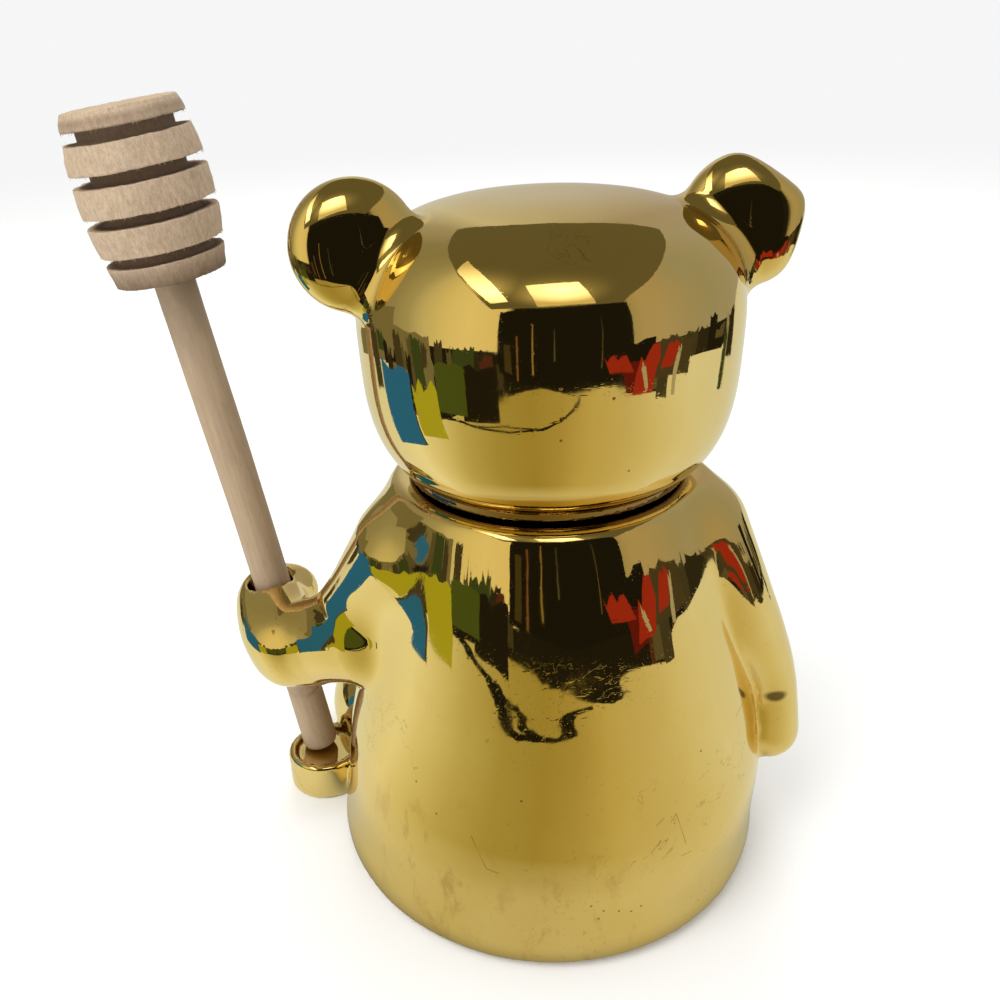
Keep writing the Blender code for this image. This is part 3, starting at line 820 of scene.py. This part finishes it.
def value_noise(p, seed):
    """Smooth noise in 0..1 at unit spacing."""
    base = np.floor(p).astype(np.int64)
    f = p - base
    f = f * f * (3 - 2 * f)
    out = 0
    for i, j, k in np.ndindex(2, 2, 2):
        w = ((f[..., 0] if i else 1 - f[..., 0]) * (f[..., 1] if j else 1 - f[..., 1])
             * (f[..., 2] if k else 1 - f[..., 2]))
        out = out + w * hash01(base[..., 0] + i, base[..., 1] + j, base[..., 2] + k, seed)
    return out


def lathe(profile, sides):
    """Points (sides, stations) of a turned piece; the first and last stations are on the axis."""
    profile = np.asarray(profile, float)
    angle = np.linspace(0, 2 * math.pi, sides, endpoint=False)
    r, z = profile[:, 0], profile[:, 1]
    pts = np.stack([np.cos(angle)[:, None] * r, np.sin(angle)[:, None] * r, np.ones((sides, 1)) * z], -1)
    return pts


def lathe_faces(sides, stations):
    """Quads between stations; the axis ends are closed with triangles round a shared pole."""
    def v(a, s):
        if s == 0:
            return 0
        if s == stations - 1:
            return 1
        return 2 + (a % sides) * (stations - 2) + (s - 1)
    quads, tris = [], []
    for a in range(sides):
        for s in range(stations - 1):
            q = [v(a, s), v(a, s + 1), v(a + 1, s + 1), v(a + 1, s)]
            if s == 0:
                tris.append([q[0], q[1], q[2]])
            elif s == stations - 2:
                tris.append([q[0], q[1], q[3]])
            else:
                quads.append(q)
    return quads, tris


def turned_mesh(name, profile, sides, move, mat, bend=None):
    """Turned piece in the dipper's local frame (millimetres from its tip), its skin moved by move(points, outward)."""
    pts = lathe(profile, sides)
    stations = pts.shape[1]
    along = np.gradient(pts, axis=1)
    round_ = np.roll(pts, -1, 0) - np.roll(pts, 1, 0)
    out = np.cross(round_, along)
    size = np.linalg.norm(out, axis=-1, keepdims=True)
    out = np.where(size > 1e-9, out / np.maximum(size, 1e-9), 0)
    away = pts - np.array([0, 0, pts[..., 2].mean()])
    if (out * away).sum() < 0:
        out = -out
    pts = pts + out * move(pts, out)[..., None]
    if bend is not None:
        pts = pts + bend[0](pts[..., 2])[..., None] * bend[1]
    verts = [pts[:, 0].mean(0), pts[:, -1].mean(0)]
    verts = np.concatenate([np.array(verts), pts[:, 1:-1].reshape(-1, 3)])
    quads, tris = lathe_faces(sides, stations)
    mesh = bpy.data.meshes.new(name)
    mesh.from_pydata([stand @ Vector(v) for v in verts * MM], [], [tuple(q) for q in quads + tris])
    mesh.validate()
    bm = bmesh.new()
    bm.from_mesh(mesh)
    bmesh.ops.recalc_face_normals(bm, faces=bm.faces)
    bm.to_mesh(mesh)
    bm.free()
    mesh.materials.append(mat)
    mesh.shade_smooth()
    obj = bpy.data.objects.new(name, mesh)
    bpy.context.scene.collection.objects.link(obj)
    return obj


def along_profile(points, spacing):
    """Resample a polyline of (radius, z) evenly, keeping its corners."""
    out = [points[0]]
    for a, b in zip(points, points[1:]):
        length = math.hypot(b[0] - a[0], b[1] - a[1])
        steps = max(1, int(round(length / spacing)))
        for k in range(1, steps + 1):
            out.append((a[0] + (b[0] - a[0]) * k / steps, a[1] + (b[1] - a[1]) * k / steps))
    return out


def arc(cr, cz, radius, start, stop, steps=5):
    return [(cr + radius * math.cos(math.radians(start + (stop - start) * k / steps)),
             cz + radius * math.sin(math.radians(start + (stop - start) * k / steps))) for k in range(steps + 1)]


HEAD_S = 120.3
RINGS = ((0.0, 4.3), (6.1, 11.8), (13.6, 19.3), (21.4, 26.8), (28.9, 32.4))


def ring_radius(h):
    return 12.85 - 0.0081 * (h - 16.5) ** 2


def dipper_head_profile():
    points = [(0.0, HEAD_S + 32.25)]
    for k, (low, high) in enumerate(reversed(RINGS)):
        high = min(high, 32.25)
        edge = 0.32 if k else 0.5
        top, bottom = ring_radius(high), ring_radius(low)
        if k == len(RINGS) - 1:
            bottom += 0.55 * (ring_radius((low + high) / 2) - bottom)
        points += arc(top - edge, HEAD_S + high - edge, edge, 90, 10)
        points += [(ring_radius((low + high) / 2) + 0.06, HEAD_S + (low + high) / 2)]
        points += arc(bottom - edge, HEAD_S + low + edge, edge, -10, -90)
        if k < len(RINGS) - 1:
            points += [(9.5, HEAD_S + low), (9.2, HEAD_S + low - 0.25),
                       (9.2, HEAD_S + RINGS[-k - 2][1] + 0.25), (9.5, HEAD_S + RINGS[-k - 2][1])]
    points += [(5.0, HEAD_S), (4.55, HEAD_S + 0.4), (4.45, HEAD_S + 18.0), (0.0, HEAD_S + 18.0)]
    return along_profile(points, 0.34)


def rough_ring(p, out):
    """Coarse turning: torn grain on the rings' skin, saw marks on their faces."""
    r = np.hypot(p[..., 0], p[..., 1])
    z = p[..., 2]
    skin = np.clip((r - 9.6) / 1.5, 0, 1)
    torn = value_noise(np.stack([p[..., 0] / 0.55, p[..., 1] / 0.55, z / 1.6], -1), 5)
    coarse = value_noise(np.stack([p[..., 0] / 2.4, p[..., 1] / 2.4, z / 3.2], -1), 6)
    fine = value_noise(np.stack([p[..., 0] / 0.35, p[..., 1] / 0.35, z / 0.45], -1), 7)
    move = (torn - 0.5) * 0.16 + (coarse - 0.5) * 0.17 + (fine - 0.5) * 0.07
    bore = r < 5.2
    return np.where(bore, 0.0, move * (0.35 + 0.65 * skin) - 0.10)


def handle_profile():
    points = [(0.0, HEAD_S + 17.6), (3.5, HEAD_S + 17.6), (4.15, HEAD_S + 17.0)]
    points += [(4.15, 18.2), (4.05, 18.0), (3.75, 17.8), (3.72, 17.5), (4.05, 17.2), (4.15, 17.0)]
    points += [(4.15, 1.3), (3.9, 0.6), (3.2, 0.1), (0.0, 0.0)]
    return along_profile(points, 0.7)


def bow(z):
    """The dowel is bowed a little towards the pot, straight at its tip and in its socket."""
    return 0.45 * np.sin(math.pi * np.clip(z / HEAD_S, 0, 1)) ** 1.5


def rough_handle(p, out):
    z = p[..., 2]
    grain = value_noise(np.stack([p[..., 0] / 0.7, p[..., 1] / 0.7, z / 9.0], -1), 11)
    bend = value_noise(np.stack([p[..., 0] / 30, p[..., 1] / 30, z / 22.0], -1), 12)
    return (grain - 0.5) * 0.05 + (bend - 0.5) * 0.10 - 0.06


stand = (Matrix.Translation(Vector(TIP) * MM)
         @ Vector(AXIS).to_track_quat("Z", "Y").to_matrix().to_4x4())

# the last tuple paints shade into the grooves: dark brown on their bottoms and on the ring faces inside them
pale = wood("beech_turned", (0.585, 0.450, 0.318), (0.490, 0.360, 0.245), (0.370, 0.252, 0.158), 0.86, 1700.0, 3.0, 0.8,
            (0.470, 0.360, 0.255), ((0.125, 0.072, 0.038), 0.0112, (HEAD_S + 31.4) * MM))
smooth = wood("beech_dowel", (0.455, 0.340, 0.225), (0.425, 0.310, 0.200), (0.375, 0.265, 0.165), 0.58, 1300.0, 16.0,
              0.35, (0.430, 0.305, 0.200))

inwards = np.array(stand.to_3x3().inverted() @ Vector((-1.0, 0.0, 0.0)))
inwards[2] = 0.0

dipper_head = turned_mesh("dipper_head_turned", dipper_head_profile(), 176, rough_ring, pale)
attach(dipper_head, "dipper")
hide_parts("dipper_head")



def ring_fibres(name, count, mat):
    """Loose slivers of wood along the rings' lower edges, each a thin closed spike."""
    rng = np.random.RandomState(21)
    bm = bmesh.new()
    for _ in range(count):
        ring = RINGS[rng.randint(0, len(RINGS))]
        lower = rng.rand() < 0.9 or ring is RINGS[-1]
        z = ring[0] + 0.25 if lower else ring[1] - 0.25
        a = rng.uniform(0, 2 * math.pi)
        r = ring_radius(z) - 0.22
        foot = np.array([r * math.cos(a), r * math.sin(a), HEAD_S + z])
        out = np.array([math.cos(a), math.sin(a), 0.0])
        side = np.array([-math.sin(a), math.cos(a), 0.0])
        way = out * rng.uniform(0.15, 0.5) + side * rng.normal() * 0.4 + np.array([0, 0, -1.0 if lower else 0.8])
        way /= np.linalg.norm(way)
        length = rng.uniform(0.25, 0.75)
        thick = rng.uniform(0.035, 0.07)
        bend = side * rng.normal() * 0.12 + out * rng.uniform(0.0, 0.12)
        u = np.cross(way, out)
        u /= np.linalg.norm(u)
        v = np.cross(way, u)
        loops = []
        for share, width in ((0.0, 1.0), (0.55, 0.7)):
            centre = foot + way * length * share + bend * share ** 2
            loops.append([bm.verts.new(stand @ Vector((centre + (u * math.cos(t) + v * math.sin(t)) * thick * width) * MM))
                          for t in (0.0, 2.1, 4.2)])
        end = bm.verts.new(stand @ Vector((foot + way * length + bend) * MM))
        bm.faces.new(loops[0][::-1])
        for k in range(3):
            n = (k + 1) % 3
            bm.faces.new((loops[0][k], loops[0][n], loops[1][n], loops[1][k]))
            bm.faces.new((loops[1][k], loops[1][n], end))
    bmesh.ops.recalc_face_normals(bm, faces=bm.faces)
    mesh = bpy.data.meshes.new(name)
    bm.to_mesh(mesh)
    bm.free()
    mesh.materials.append(mat)
    obj = bpy.data.objects.new(name, mesh)
    bpy.context.scene.collection.objects.link(obj)
    return obj


fibres = ring_fibres("dipper_fibres", 380, pale)
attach(fibres, "dipper")

dipper_handle = turned_mesh("dipper_handle_turned", handle_profile(), 72, rough_handle, smooth, (bow, inwards))
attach(dipper_handle, "dipper")
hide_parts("dipper_handle")

# ------------------------------------------------------------------------------------------------
# Floor, reflectors, light, camera
# ------------------------------------------------------------------------------------------------


def plain(name, colour, rough=0.9):
    n = Nodes(name)
    n.shader.inputs["Base Color"].default_value = (*colour, 1.0)
    n.shader.inputs["Roughness"].default_value = rough
    return n.mat


def glow(name, colour, strength):
    mat = bpy.data.materials.new(name)
    mat.use_nodes = True
    tree = mat.node_tree
    tree.nodes.clear()
    out = tree.nodes.new("ShaderNodeOutputMaterial")
    emit = tree.nodes.new("ShaderNodeEmission")
    emit.inputs["Color"].default_value = (*colour, 1.0)
    emit.inputs["Strength"].default_value = strength
    tree.links.new(emit.outputs["Emission"], out.inputs["Surface"])
    return mat


def stage_mesh(name, verts, faces, mat, mirror_only=False):
    mesh = bpy.data.meshes.new(name)
    mesh.from_pydata([tuple(v) for v in verts], [], faces)
    mesh.materials.append(mat)
    obj = bpy.data.objects.new(name, mesh)
    bpy.context.scene.collection.objects.link(obj)
    if mirror_only:
        obj.visible_camera = obj.visible_diffuse = obj.visible_shadow = False
        obj.visible_transmission = obj.visible_volume_scatter = False
    return obj


def ground(name, z, near, mat, mirror_only=False):
    """Floor sheet; near(angle) is how far it reaches, with angle 0 towards +Y and 90 towards +X."""
    verts, faces = [(0.0, 0.0, z)], []
    count = 144
    for k in range(count):
        a = 2 * math.pi * k / count
        r = near(math.degrees(a) if a <= math.pi else math.degrees(a) - 360)
        verts.append((r * math.sin(a), r * math.cos(a), z))
    for k in range(count):
        faces.append((0, 1 + (k + 1) % count, 1 + k))
    return stage_mesh(name, verts, faces, mat, mirror_only)


def floor_material():
    """White table that runs out into the even backdrop."""
    n = Nodes("floor_white")
    n.shader.inputs["Base Color"].default_value = (0.93, 0.93, 0.925, 1.0)
    n.shader.inputs["Roughness"].default_value = 0.9
    emit = n.tree.nodes.new("ShaderNodeEmission")
    emit.inputs["Color"].default_value = (0.918, 0.925, 0.920, 1.0)
    both = n.tree.nodes.new("ShaderNodeMixShader")
    away = n.tree.nodes.new("ShaderNodeVectorMath")
    away.operation = "LENGTH"
    n.link(n.place, away.inputs[0])
    n.link(n.range(away.outputs["Value"], 0.20, 1.40, 0.0, 1.0), both.inputs[0])
    n.link(n.shader.outputs["BSDF"], both.inputs[1])
    n.link(emit.outputs["Emission"], both.inputs[2])
    n.link(both.outputs["Shader"], n.tree.nodes["Material Output"].inputs["Surface"])
    return n.mat


floor = ground("floor", -0.0001, lambda a: 6.0, floor_material())
floor.visible_glossy = False


def toned(name, stops, contact_shadow_ramp=None):
    """Emission whose colour follows the direction from the middle; stops are (angle, colour), 0 at +Y, 90 at +X."""
    n = Nodes(name)
    turn = n.tree.nodes.new("ShaderNodeTexGradient")
    turn.gradient_type = "RADIAL"
    n.link(n.place, turn.inputs["Vector"])
    placed = sorted(((0.75 - a / 360.0) % 1.0, c) for a, c in stops)
    (p0, c0), (p1, c1) = placed[-1], placed[0]
    share = (1.0 - p0) / max(p1 + 1.0 - p0, 1e-6)
    seam = tuple(u + (v - u) * share for u, v in zip(c0, c1))
    placed = [(0.0, seam)] + [(p, c) for p, c in placed if 0.0 < p < 1.0] + [(1.0, seam)]
    colour = n.ramp(turn.outputs["Fac"], placed)
    # painted shade: the given ramp darkens the sheet by distance from the middle, deepest right at the pot's foot as a
    # contact shadow; just beyond that a ring is paler
    if contact_shadow_ramp is not None:
        away = n.tree.nodes.new("ShaderNodeVectorMath")
        away.operation = "LENGTH"
        n.link(n.place, away.inputs[0])
        near = n.range(away.outputs["Value"], 0.056, 0.088, 0.75, 0.0)
        colour = n.mix(near, colour, (0.77, 0.74, 0.54))
        colour = n.mix(1.0, colour, n.ramp(away.outputs["Value"], contact_shadow_ramp), "MULTIPLY")
    emit = n.tree.nodes.new("ShaderNodeEmission")
    n.link(colour, emit.inputs["Color"])
    n.link(emit.outputs["Emission"], n.tree.nodes["Material Output"].inputs["Surface"])
    return n.mat


def between(x, xs, ys):
    return float(np.interp(x, xs, ys))


# the table that the glaze reflects, with painted shade: browner and darker on the camera's side, where a shadow lies on
# it, and darkest right round the pot's foot as a painted contact shadow
shadowed_table_tone = toned("shadowed_table_tone", [
    (-120, (0.76, 0.79, 0.70)), (-70, (0.80, 0.81, 0.66)), (-50, (0.74, 0.71, 0.47)), (-30, (0.65, 0.59, 0.32)),
    (-10, (0.60, 0.52, 0.22)), (5, (0.47, 0.39, 0.13)), (20, (0.40, 0.33, 0.09)), (40, (0.44, 0.38, 0.12)),
    (60, (0.58, 0.53, 0.24)), (75, (0.75, 0.72, 0.44)), (95, (0.95, 0.96, 0.78)), (120, (0.84, 0.87, 0.72)),
    (179, (0.72, 0.74, 0.66))],
    [(0.046, 0.25), (0.052, 0.75), (0.060, 1.0), (0.090, 1.0), (0.30, 0.98)])


def table_reach(a):
    return between(a, (-180, -130, -110, -95, -60, -50, -10, 0, 12, 50, 70, 90, 110, 130, 180),
                   (3.0, 3.0, 0.6, 0.40, 0.40, 0.31, 0.325, 0.325, 0.325, 0.30, 0.26, 0.26, 0.31, 3.0, 3.0))


ground("table_in_glaze", -0.0002, table_reach, shadowed_table_tone, True)


def wall(name, radius, a0, a1, z0, z1, mat, steps=24, ragged=0.0, lean=0.0):
    """Standing sheet between two angles; ragged is the depth of its uneven top, lean turns the top sideways."""
    verts, faces = [], []
    dips = np.random.RandomState(int(abs(a0 * 7)) + 3).rand(7)
    for k in range(steps + 1):
        a = a0 + (a1 - a0) * k / steps
        r = radius(a) if callable(radius) else radius
        dip = ragged * float(np.interp(6.0 * k / steps, range(7), dips))
        for z, turn in ((z0, 0.0), (z1 - dip, lean)):
            t = math.radians(a + turn)
            verts.append((r * math.sin(t), r * math.cos(t), z))
    for k in range(steps):
        faces.append((2 * k, 2 * k + 1, 2 * k + 3, 2 * k + 2))
    return stage_mesh(name, verts, faces, mat, True)


black = glow("dark_room", (0.012, 0.011, 0.008), 1.0)
under = glow("under_table", (0.016, 0.014, 0.009), 1.0)
brown = glow("brown_card", (0.070, 0.055, 0.030), 1.0)
olive = glow("olive_card", (0.12, 0.10, 0.06), 1.0)
grey = glow("grey_card", (0.20, 0.185, 0.10), 1.0)
blue = glow("blue_card", (0.025, 0.165, 0.50), 1.0)
yellow = glow("yellow_card", (0.42, 0.43, 0.03), 1.0)
green = glow("green_card", (0.07, 0.10, 0.02), 1.0)
red = glow("red_card", (0.34, 0.03, 0.015), 1.0)
deep_red = glow("deep_red_card", (0.12, 0.012, 0.008), 1.0)
bone = glow("bone_card", (0.42, 0.40, 0.30), 1.0)

# the room, seen only in the glaze
ground("below_table", -0.30, lambda a: 2.6, under, True)
room_tone = toned("room_tone", [
    (-179, (0.66, 0.65, 0.56)), (-150, (0.43, 0.38, 0.33)), (-130, (0.42, 0.41, 0.38)), (-110, (0.40, 0.39, 0.34)),
    (-90, (0.37, 0.37, 0.31)), (-70, (0.40, 0.37, 0.27)), (-50, (0.46, 0.39, 0.25)), (-40, (0.46, 0.39, 0.25)),
    (-34, (0.40, 0.35, 0.20)), (-30, (0.016, 0.015, 0.010)), (30, (0.016, 0.015, 0.010)), (35, (0.80, 0.71, 0.40)),
    (45, (0.84, 0.75, 0.44)), (55, (0.86, 0.78, 0.48)), (70, (0.78, 0.71, 0.40)), (85, (0.60, 0.56, 0.36)),
    (95, (0.42, 0.40, 0.25)), (110, (0.33, 0.31, 0.20)), (130, (0.29, 0.27, 0.17)), (150, (0.30, 0.28, 0.20)),
    (170, (0.42, 0.40, 0.33))])
wall("room", 2.4, -180, 180, -0.3, 3.0, room_tone, 96)
ground("room_top", 3.0, lambda a: 2.4, room_tone, True)
stage_mesh("dark_panel", [(-0.135, 0.225, 0.038), (0.172, 0.225, 0.038), (0.170, 0.225, 0.222), (-0.132, 0.225, 0.229)],
           [(0, 1, 2, 3)], black, True)


def cord_line(a):
    return between(a, (-4, 5, 15, 32, 45, 60, 85), (0.300, 0.268, 0.243, 0.231, 0.240, 0.258, 0.262))


for name, radius, a0, a1, z0, z1, mat, ragged, lean in (
        ("card_blue", 0.165, 86.5, 112, 0.008, 0.074, blue, 0.010, 2.0),
        ("card_blue_edge", 0.166, 85.0, 88, 0.008, 0.056, brown, 0.010, 2.0),
        ("card_yellow", 0.19, 69, 86, 0.009, 0.056, yellow, 0.012, 2.5),
        ("card_green", 0.245, 54, 73, 0.014, 0.066, green, 0.020, 0.0),
        ("card_dark_left", 0.25, 38, 57, 0.006, 0.060, under, 0.015, 0.0),
        ("cord", cord_line, -4, 85, 0.0, 0.0034, black, 0.0, 0.0),
        ("cord_loop", lambda a: cord_line(a) + 0.017 - 0.0008 * abs(a - 34), 14, 54, 0.0, 0.0022, black, 0.0, 0.0),
        ("card_red", 0.240, -42, -31, 0.030, 0.088, red, 0.030, -3.0),
        ("card_red_near", 0.232, -31, -18, 0.050, 0.084, red, 0.026, 4.0),
        ("card_red_deep", 0.250, -37, -28, 0.026, 0.064, deep_red, 0.010, 3.0),
        ("card_red_far", 0.245, -54, -46, 0.044, 0.090, red, 0.028, -3.0),
        ("card_bone", 0.236, -39.5, -37.5, 0.034, 0.062, bone, 0.012, 3.0),
        ("card_bone_far", 0.236, -56, -54, 0.030, 0.078, bone, 0.020, -2.0),
        ("card_brown", 0.25, -64, -41, 0.034, 0.10, brown, 0.030, 0.0),
        ("card_dark_right", 0.252, -41, -12, 0.036, 0.105, black, 0.020, 0.0),
        ("edge_left", lambda a: table_reach(a) - 0.002, 36, 122, 0.0, 0.010, under, 0.006, 0.0),
        ("back_left", 0.38, 104, 150, -0.1, 0.17, grey, 0.03, 0.0), ("mid_left", 0.385, 76, 104, -0.1, 0.100, grey, 0.02, 0.0)):
    wall(name, radius, a0, a1, z0, z1, mat, 24, ragged, lean)

for x0, x1, z0, z1, c in ((0.072, 0.076, 0.052, 0.165, (0.30, 0.21, 0.07)), (0.108, 0.114, 0.040, 0.130, (0.20, 0.10, 0.04)),
                          (0.034, 0.037, 0.075, 0.150, (0.10, 0.09, 0.06)), (-0.052, -0.050, 0.060, 0.190, (0.16, 0.13, 0.06)),
                          (0.128, 0.150, 0.045, 0.105, (0.06, 0.05, 0.02))):
    stage_mesh("upright", [(x0, 0.222, z0), (x1, 0.222, z0), (x1 - 0.001, 0.222, z1), (x0 + 0.001, 0.222, z1)],
               [(0, 1, 2, 3)], glow("upright_tone", c, 1.0), True)

# a jumble of plain boxes and pots of the workroom, each a dull card
rng = np.random.RandomState(4)
dull = [glow("jumble_%d" % k, c, 1.0) for k, c in enumerate((
    (0.016, 0.014, 0.010), (0.030, 0.026, 0.015), (0.060, 0.052, 0.030), (0.110, 0.095, 0.050), (0.190, 0.175, 0.110),
    (0.340, 0.320, 0.240), (0.085, 0.030, 0.020), (0.045, 0.070, 0.025)))]
for start, stop in ((-108.0, -38.0), (36.0, 128.0)):
    a, k = start, 0
    while a < stop:
        width = rng.uniform(2.5, 7.5)
        low_z = 0.030 * rng.rand() ** 2 - 0.05 * (rng.rand() < 0.7)
        high_z = 0.040 + 0.060 * rng.rand()
        out = 0.105 if -95 < a < -54 else 0.0
        wall("jumble", 0.30 + out + 0.05 * rng.rand(), a - 0.6, min(a + width, stop), low_z, high_z,
             dull[rng.choice(len(dull), p=(0.2, 0.2, 0.18, 0.14, 0.1, 0.05, 0.06, 0.07))], 12, 0.024,
             rng.uniform(-2.0, 2.0))
        a += width
# ceiling with its lamps
top = 0.93
def ceiling_material():
    """Dim ceiling, lit up round its lamps."""
    n = Nodes("ceiling_tone")
    glowing = n.math("MAXIMUM", n.spot((0.12, 1.00, 0.93), 0.75, 1.0), n.spot((0.74, 0.48, 0.93), 0.62, 1.0))
    colour = n.mix(n.math("POWER", glowing, 2.2), (0.14, 0.125, 0.065), (0.95, 0.82, 0.42))
    emit = n.tree.nodes.new("ShaderNodeEmission")
    n.link(colour, emit.inputs["Color"])
    n.link(emit.outputs["Emission"], n.tree.nodes["Material Output"].inputs["Surface"])
    return n.mat


stage_mesh("ceiling_panel", [(0.15, -0.87, top), (1.4, 1.4, top), (-1.03, 1.94, top), (-0.67, -0.67, top)],
           [(0, 1, 2, 3)], ceiling_material(), True)
def lamp_material(name, centre, reach):
    """Lamp cover, brightest in its middle."""
    n = Nodes(name)
    emit = n.tree.nodes.new("ShaderNodeEmission")
    emit.inputs["Strength"].default_value = 2.9
    n.link(n.mix(n.spot(centre, reach, 1.0), (0.26, 0.225, 0.118), (1.0, 0.95, 0.80)), emit.inputs["Color"])
    n.link(emit.outputs["Emission"], n.tree.nodes["Material Output"].inputs["Surface"])
    return n.mat


stage_mesh("lamp_long", [(0.40, -0.11, top - 0.01), (0.61, 0.01, top - 0.01), (1.10, 1.05, top - 0.01),
                         (0.77, 1.08, top - 0.01)], [(0, 1, 2, 3)], lamp_material("lamp_long", (0.74, 0.62, top), 0.72), True)
stage_mesh("lamp_wide", [(-0.12, 0.61, top - 0.01), (0.29, 0.61, top - 0.01), (0.45, 1.5, top - 0.01),
                         (-0.38, 1.5, top - 0.01)], [(0, 1, 2, 3)], lamp_material("lamp_wide", (0.02, 0.80, top), 0.55), True)

world = bpy.data.worlds.new("studio")
world.use_nodes = True
world.node_tree.nodes["Background"].inputs["Color"].default_value = (0.918, 0.925, 0.920, 1.0)
world.node_tree.nodes["Background"].inputs["Strength"].default_value = 1.0
bpy.context.scene.world = world


def area(name, place, aim, size, power, colour=(1, 1, 1)):
    data = bpy.data.lights.new(name, "AREA")
    data.shape = "DISK"
    data.size = size
    data.energy = power
    data.color = colour
    obj = bpy.data.objects.new(name, data)
    obj.location = place
    obj.rotation_mode = "QUATERNION"
    obj.rotation_quaternion = (Vector(aim) - Vector(place)).to_track_quat("-Z", "Y")
    obj.visible_glossy = False
    bpy.context.scene.collection.objects.link(obj)
    return obj


area("key", (0.55, 0.35, 0.95), (0, 0, 0.05), 0.7, 6.0, (1.0, 0.98, 0.95))
area("back", (-0.2, -0.9, 0.9), (0, 0, 0.05), 0.9, 4.0)

# camera solved from the outline of the pot, the head and the dipper in the photograph
pitch, roll, yaw = math.radians(25.61), math.radians(-1.983), math.radians(9.772)
ahead = Vector((0, math.cos(pitch), -math.sin(pitch)))
over = Vector((0, math.sin(pitch), math.cos(pitch)))
across = Vector((1, 0, 0))
right = across * math.cos(roll) + over * math.sin(roll)
upward = over * math.cos(roll) - across * math.sin(roll)
to_bear = Matrix(((-math.cos(yaw), -math.sin(yaw), 0), (math.sin(yaw), -math.cos(yaw), 0), (0, 0, 1)))
spot = to_bear @ Vector((-0.011426, -0.185, 0.17104)) + Vector((0, 0.0038, 0))
right, upward, ahead = to_bear @ right, to_bear @ upward, to_bear @ ahead
camera = bpy.data.objects.new("camera", bpy.data.cameras.new("camera"))
camera.data.sensor_width = 36.0
camera.data.lens = 36.0
camera.data.shift_x = 0.0085
camera.data.clip_start = 0.01
camera.data.clip_end = 50.0
back_ = -ahead
camera.matrix_world = Matrix(((right.x, upward.x, back_.x, spot.x), (right.y, upward.y, back_.y, spot.y),
                              (right.z, upward.z, back_.z, spot.z), (0, 0, 0, 1)))
bpy.context.scene.collection.objects.link(camera)
bpy.context.scene.camera = camera

bpy.context.scene.view_settings.view_transform = "Standard"
bpy.context.scene.view_settings.look = "None"
